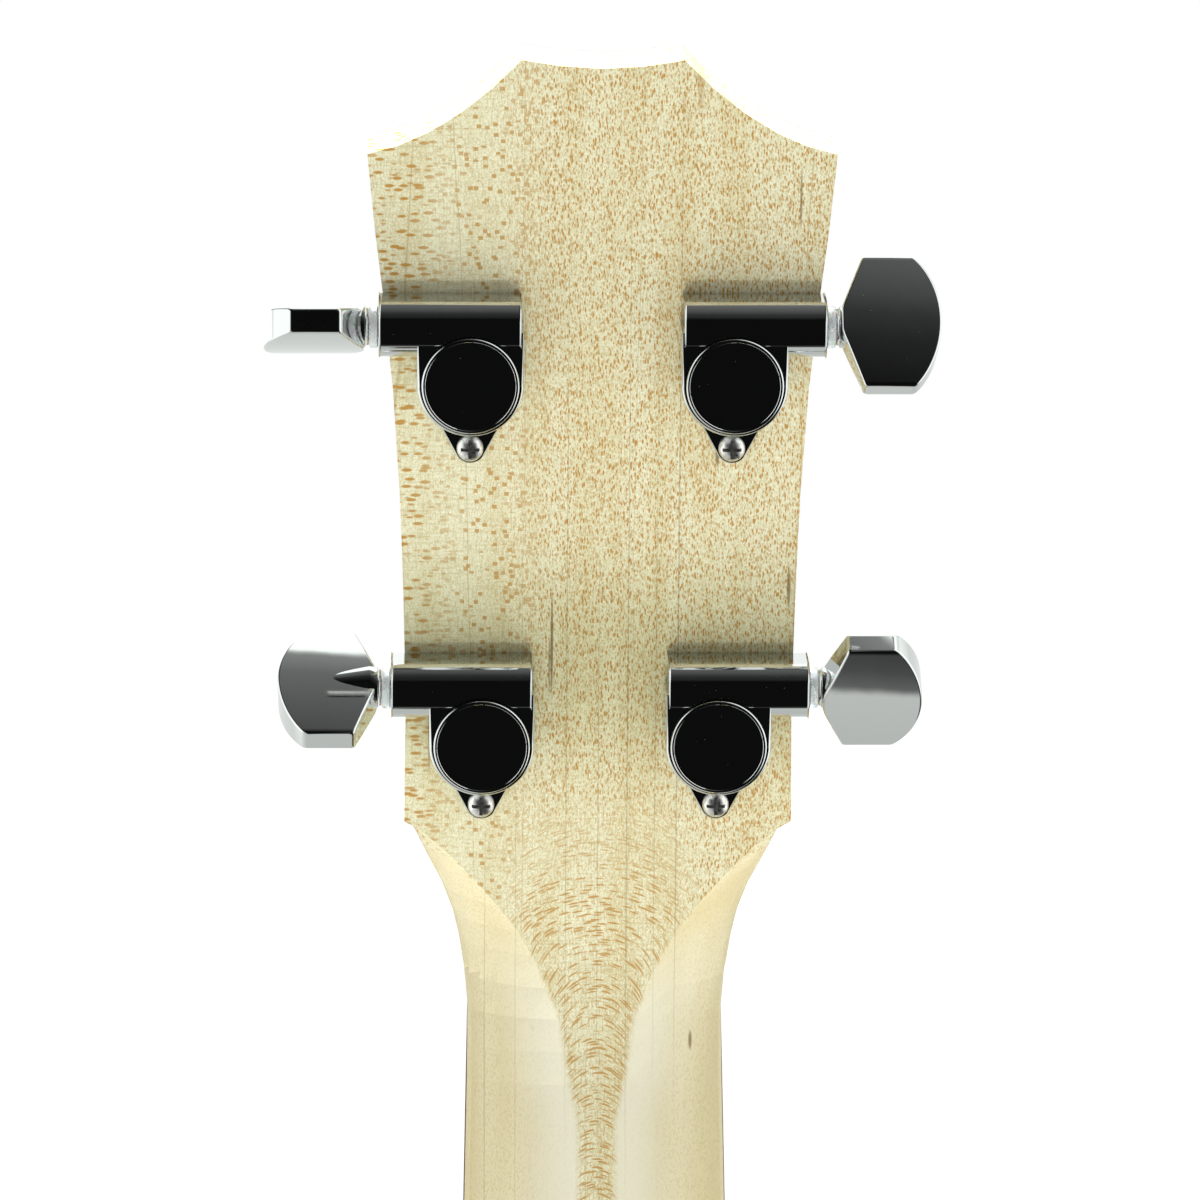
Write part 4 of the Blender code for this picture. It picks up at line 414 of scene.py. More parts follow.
def spruce(name, light, dark, roughness, gloss):
    """Straight-grained spruce: close dark lines, a little silk across them."""
    s = Shader(name)
    wander = s.times(s.math("SUBTRACT", s.noise((0.05, 0.05, 0.16)), 0.5), 0.004)
    # The top is two halves, matched about its centre line
    across = s.math("ADD", s.math("ABSOLUTE", s.x), wander)
    pitch = s.noise(s.join(s.math("DIVIDE", across, 0.03), 0.0, s.math("DIVIDE", s.z, 1.5)), detail=1.0)
    spaced = s.math("ADD", across, s.times(pitch, 0.012))
    rings = s.math("FRACT", s.math("DIVIDE", spaced, 0.00155))
    late = s.times(s.ramp(rings, 0.45, 0.92), s.ramp(rings, 1.0, 0.95))
    silk = s.noise((0.004, 0.004, 0.0011), detail=1.0)
    tone = s.noise((0.02, 0.02, 0.5))
    colour = s.blend(s.ramp(tone, 0.35, 0.65), light, dark)
    colour = s.lay(colour, (0.45, 0.27, 0.11), late, 0.55)
    colour = s.lay(colour, (0.86, 0.72, 0.48), s.ramp(silk, 0.56, 0.72), 0.2)
    return s.finish(colour, roughness, (late, 0.00002, 0.4), Coat_Weight=gloss, Coat_Roughness=0.15)


def dark_wood(s):
    """The colour of oiled rosewood, and the noises of its streaks and of its pores."""
    streaks = s.noise((0.0022, 0.003, 0.09), detail=4.0, warp=0.4)
    pores = s.noise((0.00025, 0.00035, 0.0042), detail=1.0)
    colour = s.blend(s.ramp(streaks, 0.36, 0.64), (0.036, 0.018, 0.011), (0.115, 0.058, 0.032))
    return s.blend(s.ramp(pores, 0.6, 0.68), colour, (0.012, 0.006, 0.004)), streaks, pores


def rosewood():
    """Dark oiled wood with open pores and reddish streaks."""
    s = Shader("rosewood")
    colour, streaks, pores = dark_wood(s)
    height = s.ramp(pores, 0.66, 0.58)
    return s.finish(colour, s.ramp(streaks, 0.3, 0.7, 0.42, 0.55), (height, 0.00006, 0.5))


def faced_ply():
    """The head's facing: a thin dark face on a pale ply whose edge is sanded flush with the head."""
    s = Shader("faced_ply")
    dark, streaks, _ = dark_wood(s)
    out = s.math("ADD", s.times(s.y, HEAD_BACK.y), s.times(s.z, HEAD_BACK.z))
    depth = s.math("SUBTRACT", out, PIVOT.dot(HEAD_BACK))
    pale = s.blend(s.ramp(streaks, 0.3, 0.7), (0.7, 0.61, 0.35), (0.6, 0.5, 0.27))
    colour = s.blend(s.ramp(depth, 0.00035, 0.0003), pale, dark)
    return s.finish(colour, 0.42, Coat_Weight=0.3, Coat_Roughness=0.15)


def chrome():
    """Bright plating with the faintest unevenness."""
    s = Shader("chrome_plate")
    film = s.noise((0.0035, 0.0035, 0.0035), detail=3.0)
    waves = s.noise((0.006, 0.006, 0.006), detail=1.0)
    specks = s.flecks((0.0011, 0.0011, 0.0011), (0.1, 0.05), (0.72, 0.8))
    colour = s.lay((0.68, 0.7, 0.69), (0.45, 0.4, 0.34), specks, 0.35)
    rough = s.math("ADD", s.ramp(film, 0.35, 0.75, 0.035, 0.075), s.times(specks, 0.4))
    return s.finish(colour, rough, (waves, 0.00004, 0.35), Metallic=1.0)


def bright_steel(name="bright_steel", roughness=0.22, tint=(0.72, 0.72, 0.7)):
    s = Shader(name)
    turned = s.noise((0.0002, 0.0002, 0.0012))
    colour = s.blend(s.ramp(turned, 0.35, 0.7), tint, tuple(value * 0.72 for value in tint))
    rough = s.ramp(turned, 0.3, 0.7, roughness * 0.8, roughness * 1.3)
    return s.finish(colour, rough, (turned, 0.00002, 0.3), Metallic=1.0)


def nylon():
    s = Shader("clear_nylon")
    cloud = s.noise((0.002, 0.002, 0.002))
    colour = s.blend(cloud, (0.6, 0.64, 0.64), (0.76, 0.8, 0.8))
    depth = {"Transmission_Weight": 0.55, "Subsurface_Weight": 0.3, "Subsurface_Scale": 0.002}
    return s.finish(colour, s.ramp(cloud, 0.3, 0.7, 0.22, 0.35), **depth)


def bone():
    s = Shader("polished_bone")
    fibres = s.noise((0.003, 0.0006, 0.0006))
    colour = s.blend(s.ramp(fibres, 0.35, 0.7), (0.88, 0.84, 0.73), (0.8, 0.74, 0.6))
    return s.finish(colour, 0.32, (fibres, 0.00001, 0.3), Subsurface_Weight=0.15, Subsurface_Scale=0.001)


def black_plastic():
    s = Shader("satin_black")
    grain = s.noise((0.0004, 0.0004, 0.0004))
    colour = s.blend(grain, (0.012, 0.012, 0.013), (0.024, 0.024, 0.026))
    return s.finish(colour, s.ramp(grain, 0.3, 0.7, 0.3, 0.42), (grain, 0.00001, 0.3))


def pearl():
    s = Shader("dot_pearl")
    cloud = s.noise((0.002, 0.002, 0.003), detail=3.0, warp=1.5)
    colour = s.blend(s.ramp(cloud, 0.35, 0.65), (0.8, 0.8, 0.76), (0.58, 0.64, 0.66))
    return s.finish(colour, 0.22, Coat_Weight=0.5)


def mapped(s):
    """How far along a strip this point is in metres, and the share of a turn, from the UV map."""
    uv = s.make("ShaderNodeTexCoord").outputs["UV"]
    return s.make("ShaderNodeSeparateXYZ", Vector=uv).outputs[:2]


def wound_bronze(name, pitch):
    """Bronze wire wound round a core: its ridges follow the string's own length."""
    s = Shader(name)
    along, around = mapped(s)
    turn = s.math("FRACT", s.math("ADD", s.math("DIVIDE", along, pitch), around))
    ridge = s.math("SINE", s.times(turn, pi))
    age = s.noise((0.01, 0.01, 0.014))
    colour = s.blend(s.ramp(age, 0.3, 0.7), (0.68, 0.45, 0.22), (0.52, 0.32, 0.15))
    colour = s.blend(s.ramp(ridge, 0.45, 0.0), colour, (0.12, 0.07, 0.03))
    return s.finish(colour, 0.3, (ridge, pitch * 0.45, 1.0), Metallic=1.0)


def rosette_wood():
    """Thin rings of dark and pale wood round the soundhole, told apart by their radius."""
    s = Shader("rosette_rings")
    down = s.math("SUBTRACT", s.z, HOLE_Z)
    radius = s.math("SQRT", s.math("ADD", s.times(s.x, s.x), s.times(down, down)))
    # A pale ring on each side of the broad one: (share of the width, height), the same both ways
    rings = [(0.0, 0.0), (0.12, 0.0), (0.13, 1.0), (0.2, 1.0), (0.21, 0.0), (0.28, 0.0), (0.29, 0.45)]
    rings += [(1.0 - at, height) for at, height in reversed(rings)]
    ring = s.curve(s.ramp(radius, *ROSETTE, smooth=False), rings)
    figure = s.noise((0.003, 0.003, 0.003), detail=3.0, warp=1.0)
    colour = s.blend(ring, (0.03, 0.02, 0.015), (0.82, 0.74, 0.55))
    colour = s.lay(colour, (0.2, 0.1, 0.05), s.ramp(figure, 0.4, 0.6), 0.3)
    return s.finish(colour, 0.35, Coat_Weight=0.3)


def kerfed_lining():
    """Lining strip sawn through at even steps, so that it bends round the sides."""
    s = Shader("kerfed_lining")
    kerf = s.ramp(s.math("FRACT", s.math("DIVIDE", mapped(s)[0], KERF_STEP)), 0.14, 0.1)
    grain = s.noise((0.003, 0.0006, 0.003))
    colour = s.blend(s.ramp(grain, 0.3, 0.7), (0.64, 0.5, 0.31), (0.54, 0.4, 0.22))
    colour = s.blend(kerf, colour, (0.1, 0.06, 0.03))
    return s.finish(colour, 0.7, (s.math("SUBTRACT", 1.0, kerf), 0.0008, 1.0))


# Pieces

# An edge stays sharp above this angle, in degrees
SHARP = 32.0


def mesh_of(name, points, faces):
    mesh = bpy.data.meshes.new(name)
    mesh.from_pydata([tuple(point) for point in points], [], faces)
    return mesh


def cleaned(mesh):
    """Merges points that coincide, and turns the faces outwards."""
    work = bmesh.new()
    work.from_mesh(mesh)
    bmesh.ops.remove_doubles(work, verts=work.verts, dist=1e-7)
    bmesh.ops.recalc_face_normals(work, faces=work.faces)
    work.to_mesh(mesh)
    work.free()


def placed(name, data):
    """An object of the scene that holds this mesh, lamp or camera."""
    made = bpy.data.objects.new(name, data)
    bpy.context.scene.collection.objects.link(made)
    return made


def add_piece(name, mesh, finish, body, smooth=40.0):
    """Puts a mesh in the scene as a piece that moves with this body."""
    cleaned(mesh)
    mesh.shade_smooth()
    mesh.set_sharp_from_angle(angle=radians(smooth))
    mesh.materials.append(finish)
    piece = placed(name, mesh)
    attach(piece, body)
    return piece


def add_turned(name, profile, matrix, steps, finish, body, smooth=40.0, closed=False):
    """Adds a piece turned from a profile of (along, radius) about the matrix's x axis."""
    shape = turned(profile, matrix, steps, closed)
    return add_piece(name, mesh_of(name, *shape), finish, body, smooth)


def evenly(last, steps, first=0.0):
    """Even steps from one number to another, with both of them."""
    return [first + (last - first) * step / steps for step in range(steps + 1)]


def ring_faces(rows, count, closed):
    """Faces between rows of points; the rows close on themselves, or their ends are capped."""
    faces = []
    for row in range(rows if closed else rows - 1):
        here, following = row * count, (row + 1) % rows * count
        for column in range(count):
            ahead = (column + 1) % count
            faces.append((here + column, here + ahead, following + ahead, following + column))
    if not closed:
        faces.append(tuple(range(count))[::-1])
        faces.append(tuple(range((rows - 1) * count, rows * count)))
    return faces


def turned(profile, matrix, steps=48, closed=False):
    """Points and faces of (along, radius) turned about the matrix's x axis."""
    points = []
    for along, radius in profile:
        for angle in evenly(2.0 * pi, steps)[:-1]:
            points.append(matrix @ Vector((along, radius * cos(angle), radius * sin(angle))))
    return points, ring_faces(len(profile), steps, closed)


def extruded(outline, place, start, end):
    """Points and faces of an outline carried from one depth to another."""
    points = [place(a, b, depth) for depth in (start, end) for a, b in outline]
    return points, ring_faces(2, len(outline), False)


def gathered(parts):
    """Several (points, faces) as one."""
    points, faces = [], []
    for some_points, some_faces in parts:
        shift = len(points)
        points += some_points
        faces += [tuple(index + shift for index in face) for face in some_faces]
    return points, faces


def strip_mesh(name, points, count, lengths, closed):
    """Rows of points as a mesh. Its UV map holds the length in metres and the share of a turn."""
    mesh = mesh_of(name, points, ring_faces(len(lengths), count, closed))
    layer = mesh.uv_layers.new(name="UVMap")
    for polygon in mesh.polygons:
        corners = [mesh.loops[loop].vertex_index for loop in polygon.loop_indices]
        around = {corner % count for corner in corners}
        wraps = len({corner // count for corner in corners}) == 2 and around == {0, count - 1}
        for loop, corner in zip(polygon.loop_indices, corners):
            turn = corner % count
            if wraps and turn == 0:
                turn = count
            layer.data[loop].uv = (lengths[corner // count], turn / count)
    return mesh


def tube_mesh(name, points, radius, sides=14):
    """A round wire along these points."""
    tangents = []
    for index in range(len(points)):
        ahead = points[min(index + 1, len(points) - 1)] - points[max(index - 1, 0)]
        tangents.append(ahead.normalized())
    side = tangents[0].orthogonal().normalized()
    rings, lengths, length = [], [], 0.0
    for index, (point, tangent) in enumerate(zip(points, tangents)):
        if index:
            side = tangents[index - 1].rotation_difference(tangent) @ side
            length += (point - points[index - 1]).length
        side = (side - tangent * side.dot(tangent)).normalized()
        other = tangent.cross(side)
        lengths.append(length)
        for angle in evenly(2.0 * pi, sides)[:-1]:
            rings.append(point + (side * cos(angle) + other * sin(angle)) * radius)
    return strip_mesh(name, rings, sides, lengths, False)


def on_head(x, up, back):
    return PIVOT + Vector((x, 0.0, 0.0)) + HEAD_UP * up + HEAD_BACK * back


def head_frame(origin, mirror=1.0):
    """A frame at this point: its axes run across the head, up it and out of its front."""
    place = Matrix.Identity(4)
    for index, column in enumerate((Vector((mirror, 0.0, 0.0)), HEAD_UP, -HEAD_BACK)):
        place.col[index] = (*column, 0.0)
    place.col[3] = (*origin, 1.0)
    return place


def tuner_place(name):
    """The tuner's frame, on its post's axis at the back of the head. Its x axis points to the button."""
    side, row = STRINGS[name][2:4]
    return head_frame(on_head(side * TUNER_X[row], TUNER_V[row], HEAD_THICK), side)


# Strings, on the same route as in the part's source

def string_x(order, spread):
    return spread * (order / (len(STRINGS) - 1) - 0.5)


def string_bottom(z):
    share = (NUT_END_Z - z) / (NUT_END_Z - SADDLE_Z)
    return FRET_TOP_Y - (NUT_STRING_LIFT + (SADDLE_STRING_LIFT - NUT_STRING_LIFT) * share)


def nut_point(name):
    order, diameter = STRINGS[name][:2]
    z = NUT_END_Z + NUT_THICK * 0.3
    return Vector((string_x(order, NUT_SPREAD), string_bottom(NUT_END_Z) - diameter / 2.0, z))


def wrap_radius(name):
    return POST_WAIST_RADIUS + GAP + STRINGS[name][1] / 2.0


def wrap_height(name, turn):
    """The string's height after this many turns: even wraps, then half a turn up to the hole."""
    diameter = STRINGS[name][1]
    pitch = diameter + STRING_GAP
    start = HEAD_THICK + WRAP_START + diameter / 2.0
    last = WRAPS[name] - 0.5
    if turn <= last:
        return start + pitch * turn
    share = (turn - last) / 0.5
    return start + pitch * (last + 1.5 * share * share * (3.0 - 2.0 * share))


def winding_points(name):
    """The string round its post, into the hole and out of its far side."""
    place = tuner_place(name)
    radius, wraps = wrap_radius(name), WRAPS[name]
    nut = place.inverted() @ nut_point(name)
    # The angle at which the string meets the post
    start = atan2(nut.y, nut.x) % (2.0 * pi) - acos(radius / hypot(nut.x, nut.y))
    local = []
    for turn in evenly(wraps, round(wraps * WRAP_STEPS)):
        angle = start - 2.0 * pi * turn
        local.append((radius * cos(angle), radius * sin(angle), wrap_height(name, turn)))
    bend = max(STRINGS[name][1] * 0.75, 0.0012)
    spare = radius - bend
    lean = asin(bend / spare)
    end = start - 2.0 * pi * wraps
    height = wrap_height(name, wraps)
    for angle in evenly(end - pi / 2.0 - lean, BEND_STEPS, end)[1:]:
        x = spare * cos(end) + bend * cos(angle)
        y = spare * sin(end) + bend * sin(angle)
        local.append((x, y, height))
    way = end - lean
    for reach in (0.0, -POST_WAIST_RADIUS * 0.6, -POST_WAIST_RADIUS - TAIL_PAST_POST):
        local.append((reach * cos(way), reach * sin(way), height))
    return [place @ Vector(point) for point in local]


def straight_points(name):
    """The string from its end under the bridge plate, over the saddle and the nut, to its post."""
    order, diameter = STRINGS[name][:2]
    x = string_x(order, BRIDGE_SPREAD)
    radius = diameter / 2.0
    z = PIN_Z + PIN_RADIUS + GAP + radius
    turn_y = FACE_Y - GAP - BRIDGE_THICK + RAMP_DEPTH
    over = Vector((x, string_bottom(SADDLE_Z) - radius, SADDLE_Z))
    points = [Vector((x, TOP_INNER_Y + PLATE_THICK + STRING_END_REACH, z)), Vector((x, turn_y, z))]
    reach_z, reach_y = over.z - (z + STRING_BEND), over.y - turn_y
    last = atan2(reach_z, -reach_y) + asin(STRING_BEND / hypot(reach_z, reach_y))
    for angle in evenly(last, 12)[1:]:
        forward, up = STRING_BEND * sin(angle), STRING_BEND * (1.0 - cos(angle))
        points.append(Vector((x, turn_y - forward, z + up)))
    return points + [over, nut_point(name), winding_points(name)[0]]


def eased(points, reach, steps=4):
    """Corners of a route rounded over a short reach on either side."""
    route = [points[0]]
    for before, at, after in zip(points, points[1:], points[2:]):
        first, last = (before - at), (after - at)
        near = min(reach, first.length * 0.45, last.length * 0.45)
        start, end = at + first.normalized() * near, at + last.normalized() * near
        for t in evenly(1.0, steps):
            route.append(start * (1 - t) ** 2 + at * (2 * t * (1 - t)) + end * t ** 2)
    return route + [points[-1]]


def make_strings():
    # Half the profile of the brass ball that holds a string against the bridge plate
    half = [(-0.0018, 0.0008), (-0.0018, 0.0019), (-0.0012, 0.0022)]
    ball = half + [(-along, radius) for along, radius in reversed(half)]
    for name, (_, diameter, *_) in STRINGS.items():
        finish = wound_bronze(f"wound_bronze_{name}", diameter * WIRE_SHARE)
        route = straight_points(name)
        run = tube_mesh(f"string_run_{name}", eased(route, 0.0012), diameter / 2.0)
        coil = tube_mesh(f"string_coil_{name}", winding_points(name), diameter / 2.0)
        run = add_piece(f"string_run_{name}", run, finish, "root", 60.0)
        add_piece(f"string_coil_{name}", coil, finish, f"tuner_spindle_{name}", 60.0)
        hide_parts(f"string_{name}")
        end = Matrix.Translation(route[0])
        add_turned(f"ball_end_{name}", ball, end, 24, metals["brass"], "root", closed=True)


# Tuners' small pieces

def make_screw(name, place, head_radius, head_height, shank_radius, length, seat):
    """A domed cross-head screw that stands along the frame's z axis, head outwards at negative z."""
    profile = []
    for angle in evenly(pi / 2.0, 8):
        radius = max(head_radius * sin(angle), TIP)
        profile.append((seat - head_height * cos(angle) ** 0.8, radius))
    profile += [(seat, shank_radius), (seat + length * 0.85, shank_radius)]
    profile.append((seat + length, shank_radius * 0.3))
    screw = add_turned(name, profile, place @ UPRIGHT, 32, metals["screw"], "root", 35.0)
    reach, half = head_radius * 0.7, head_radius * 0.125
    for a, b in ((reach, half), (half, reach)):
        outline = [(-a, -b), (a, -b), (a, b), (-a, b)]
        put = lambda x, y, depth: place @ Vector((x, y, depth))
        cut_out(screw, extruded(outline, put, seat - head_height * 1.3, seat - head_height * 0.35))
    return screw


def bowl_outline():
    """The housing from behind: round below, with straight sides up to the middle of its tube."""
    round_part = [(BOWL_RADIUS * cos(angle), BOWL_RADIUS * sin(angle)) for angle in evenly(-pi, BOWL_STEPS)]
    return [(BOWL_RADIUS, CENTRE_DISTANCE)] + round_part + [(-BOWL_RADIUS, CENTRE_DISTANCE)]


def ear_outline():
    """Straight edges from the bowl down to a round end about the screw."""
    lean = asin((BOWL_RADIUS - EAR_RADIUS) / -SCREW_Y)
    outline = []
    for angle in evenly(lean - pi, 16, -lean):
        outline.append((EAR_RADIUS * cos(angle), SCREW_Y + EAR_RADIUS * sin(angle)))
    root, low = (BOWL_RADIUS - 0.0004) * cos(lean), -(BOWL_RADIUS - 0.0004) * sin(lean)
    return [(root, low)] + outline + [(-root, low)]


def rounded_prism(outline, place, start, end, rounding, steps=3, both=False):
    """An extruded outline whose edge at its far end, or at both ends, is rounded."""
    sign = 1.0 if end > start else -1.0
    turns = evenly(pi / 2.0, steps)
    edges = [(start, sign, turns[::-1])] if both else []
    rows = [] if both else [(outline, start)]
    for edge, inwards, angles in edges + [(end, -sign, turns)]:
        for turn in angles:
            depth = edge + inwards * rounding * (1.0 - sin(turn))
            rows.append((moved_in(outline, rounding * (1.0 - cos(turn))), depth))
    points = [place(a, b, depth) for row, depth in rows for a, b in row]
    return points, ring_faces(len(rows), len(outline), False)


def tube_outline():
    """The tube from its end: it stands on the head, and its outer corners are swollen chamfers."""
    low, high = CENTRE_DISTANCE - TUBE_HALF, CENTRE_DISTANCE + TUBE_HALF
    top, cut, edge = -BOWL_HEIGHT - TUBE_RISE, TUBE_CHAMFER, 0.00022
    corners = []
    for share in evenly(1.0, 8):
        swell = 0.00028 * 4.0 * share * (1.0 - share) * 0.707
        corners.append((low + cut * share - swell, top + cut * (1.0 - share) - swell))
    (first, first_y), (last, last_y) = corners[0], corners[-1]
    outline = [(low, -GAP * 1.2), (first, first_y + edge), (first + edge * 0.1, first_y + edge * 0.35)]
    outline += corners[1:-1]
    outline += [(last - edge * 0.35, last_y + edge * 0.1), (last + edge, last_y)]
    return outline + [(low + high - a, b) for a, b in reversed(outline)]


def even_shading(piece):
    """Large faces keep their own normals, so that polished metal mirrors straight."""
    weigh = piece.modifiers.new("shading", "WEIGHTED_NORMAL")
    weigh.mode = "FACE_AREA"
    weigh.weight = 100
    weigh.keep_sharp = True


def cut_out(piece, shape):
    """Takes a closed shape out of a piece and keeps the result as its mesh."""
    mesh = mesh_of("cutter", *shape)
    cleaned(mesh)
    cutter = placed("cutter", mesh)
    cut = piece.modifiers.new("cut", "BOOLEAN")
    cut.operation = "DIFFERENCE"
    cut.solver = "EXACT"
    cut.object = cutter
    graph = bpy.context.evaluated_depsgraph_get()
    graph.update()
    made = bpy.data.meshes.new_from_object(piece.evaluated_get(graph))
    piece.modifiers.clear()
    piece.data = made
    made.set_sharp_from_angle(angle=radians(SHARP))
    bpy.data.objects.remove(cutter)


def add_casting(name, body, parts):
    """Chrome shells as one piece. Each part is a shape and the shapes that are cut out of it."""
    shells = []
    for shape, holes in parts:
        mesh = mesh_of(name, *shape)
        shell = add_piece(f"part_of_{name}", mesh, metals["chrome"], body, SHARP)
        for hole in holes:
            cut_out(shell, hole)
        shells.append(shell)
    work = bmesh.new()
    for shell in shells:
        work.from_mesh(shell.data)
    work.to_mesh(shells[0].data)
    work.free()
    for shell in shells[1:]:
        bpy.data.objects.remove(shell)
    piece = shells[0]
    piece.name = name
    piece.data.set_sharp_from_angle(angle=radians(SHARP))
    even_shading(piece)
    return piece


def make_housing(name):
    """The cast shell: a bowl round the wheel, a tube round the worm and an ear for the screw."""
    place = tuner_place(name)
    flat = lambda a, b, depth: place @ Vector((a, b, depth))
    along = lambda a, b, depth: place @ Vector((depth, a, b))
    bowl = rounded_prism(bowl_outline(), flat, -GAP * 1.2, -BOWL_HEIGHT, 0.00048, 5)
    tube = rounded_prism(tube_outline(), along, -TUBE_INNER_X, TUBE_OUTER_X, 0.00036, 4, both=True)
    ear = rounded_prism(ear_outline(), flat, -GAP * 1.3, -GAP - EAR_THICK, 0.00026)
    ends = (-BOWL_HEIGHT - CUT_PAST, -GAP - BASE_THICK)
    cavity = turned([(end, CAVITY_RADIUS) for end in ends], place @ UPRIGHT, 44)
    ends = (TUBE_END_WALL - TUBE_INNER_X, TUBE_OUTER_X + CUT_PAST)
    bore = turned([(end, WORM_BORE_RADIUS) for end in ends], place @ WORM_AXIS, 32)
    parts = ((bowl, (cavity, bore)), (tube, (cavity, bore)), (ear, (cavity,)))
    first = add_casting(f"housing_{name}", "root", parts)
    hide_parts(f"tuner_housing_{name}")


def make_cap(name):
    """The cap in its bowl, with a rounded edge and a faint groove inside it."""
    seat = -BOWL_HEIGHT - GAP
    high, groove = seat - COVER_THICK, COVER_RADIUS - COVER_RIM
    plug = CAVITY_RADIUS - 2.0 * GAP
    profile = [(seat + COVER_PLUG + GAP, plug), (seat, plug), (seat, COVER_RADIUS)]
    for angle in evenly(pi / 2.0, 6):
        inset = CAP_ROUND * (1.0 - cos(angle))
        profile.append((high + CAP_ROUND * (1.0 - sin(angle)), COVER_RADIUS - inset))
    sunk = high + 0.00006
    profile += [(high, groove + 0.00006), (sunk, groove), (sunk, 0.002), (sunk, TIP)]
    place = tuner_place(name) @ UPRIGHT
    cap = add_turned(f"cap_{name}", profile, place, 64, metals["chrome"], "root")
    even_shading(cap)
    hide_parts(f"tuner_cover_{name}")


def make_button(name):
    """The button: two swollen faces, a rounded rim and a tapered boss on the face nearer its axis."""
    place = tuner_place(name) @ WORM_AXIS @ Matrix.Rotation(radians(STRINGS[name][4]), 4, "X")
    rows = []
    rim = BUTTON_ROUND / BUTTON_HALF_HEIGHT
    shares = [-1.0, -1.0 + rim * 0.3, -1.0 + rim]
    shares += evenly(1.0, 26, -1.0)[1:-1] + [-share for share in reversed(shares)]
    arc = []
    for turn in evenly(pi / 2.0, 3):
        arc.append((BUTTON_ROUND * (1.0 - cos(turn)), BUTTON_ROUND * (1.0 - sin(turn))))
    for share in shares:
        y = BUTTON_HALF_HEIGHT * share
        rise = max(abs(y) - BUTTON_BASE_HALF, 0.0) / (BUTTON_HALF_HEIGHT - BUTTON_BASE_HALF)
        sweep = (BUTTON_LENGTH - BUTTON_EDGE_END_X) * max(1.0 - share ** 2, 0.0) ** 0.8
        away = max((abs(share) - 1.0 + rim) / rim, 0.0)
        pull = BUTTON_ROUND * (1.0 - sqrt(max(1.0 - away ** 2, 0.0)))
        near = BUTTON_START + BUTTON_SHOULDER_X * rise + pull
        far = BUTTON_START + BUTTON_EDGE_END_X + sweep - pull
        half = BUTTON_EDGE_THICK / 2.0 + BUTTON_SWELL * (1.0 - share ** 2) - pull
        corners = [(near + a, half - b) for a, b in arc] + [(far - a, half - b) for a, b in reversed(arc)]
        corners += [(x, -z) for x, z in reversed(corners)]
        rows += [place @ Vector((x, y, z - BUTTON_OFFSET)) for x, z in corners]
    plate = rows, ring_faces(len(shares), 16, False)
    edge, wide = BUTTON_START, BUTTON_BOSS_RADIUS
    boss = [(edge - GAP, wide * 0.8), (edge - GAP, wide * 0.88), (edge - GAP * 0.5, wide * 0.97)]
    boss += [(edge + BUTTON_ROUND * 3.0, wide), (edge + BUTTON_BOSS_LENGTH, BUTTON_BOSS_TIP_RADIUS)]
    stem = turned([(end, STEM_RADIUS + GAP) for end in (edge - CUT_PAST, STEM_REACH + GAP)], place, 32)
    parts = ((plate, (stem,)), (turned(boss, place, 48), (stem,)))
    first = add_casting(f"knob_{name}", f"tuner_knob_{name}", parts)
    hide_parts(f"tuner_button_{name}")


def make_tuner_trim(name):
    """The nylon collar, the spring washer and the cross-head screw of one tuner."""
    place = tuner_place(name)
    knob = f"tuner_knob_{name}"
    axis = place @ WORM_AXIS
    bore = STEM_RADIUS + 0.00005
    start, end = TUBE_OUTER_X + 0.0001, BUTTON_START - GAP - 0.0001
    split = end - WASHER_THICK
    collar = [(start, bore), (start, 0.0031), (start + 0.0002, COLLAR_RADIUS)]
    collar += [(split - 0.0003, COLLAR_RADIUS), (split, 0.0032), (split, bore)]
    washer = [(split + 0.00005, bore), (split + 0.00005, 0.0029), (end, 0.0031), (end, bore)]
    add_turned(f"collar_{name}", collar, axis, 40, others["nylon"], knob, closed=True)
    add_turned(f"washer_{name}", washer, axis, 40, metals["chrome"], knob, closed=True)
    at = place @ Matrix.Translation((0.0, SCREW_Y, 0.0))
    head = SCREW_HEAD_RADIUS, SCREW_HEAD_HEIGHT
    screw = make_screw(f"fine_screw_{name}", at, *head, SCREW_RADIUS, SCREW_LENGTH, -EAR_THICK - GAP * 1.3)
    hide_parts(f"tuner_screw_{name}")


# Neck and body trim

def neck_half(z):
    share = (NUT_END_Z - z) / (NUT_END_Z - JOINT_Z)
    return (NUT_WIDTH + (JOINT_WIDTH - NUT_WIDTH) * share) / 2.0


def fret_z(number):
    return NUT_END_Z - SCALE_LENGTH * (1.0 - 2.0 ** (-number / 12.0))


def make_frets():
    """Fret wires with rounded crowns and bevelled ends, over those of the board."""
    half, lift = FRET_WIDTH / 2.0 + OVER_FRET, FRET_HEIGHT + OVER_FRET
    outline = [(half * cos(angle), lift * sin(angle) ** 0.75) for angle in evenly(pi, 10)]
    parts = []
    for number in range(1, FRETS + 1):
        z = fret_z(number)
        reach = neck_half(z) - 0.0002
        rows = []
        crown = reach - FRET_BEVEL
        for x, share in ((-reach, 0.25), (-crown, 1.0), (crown, 1.0), (reach, 0.25)):
            rows += [Vector((x, BOARD_FRONT_Y + 0.00002 - b * share, z + a)) for a, b in outline]
        parts.append((rows, ring_faces(4, len(outline), False)))
    add_piece("fret_wires", mesh_of("fret_wires", *gathered(parts)), metals["fret"], "root")


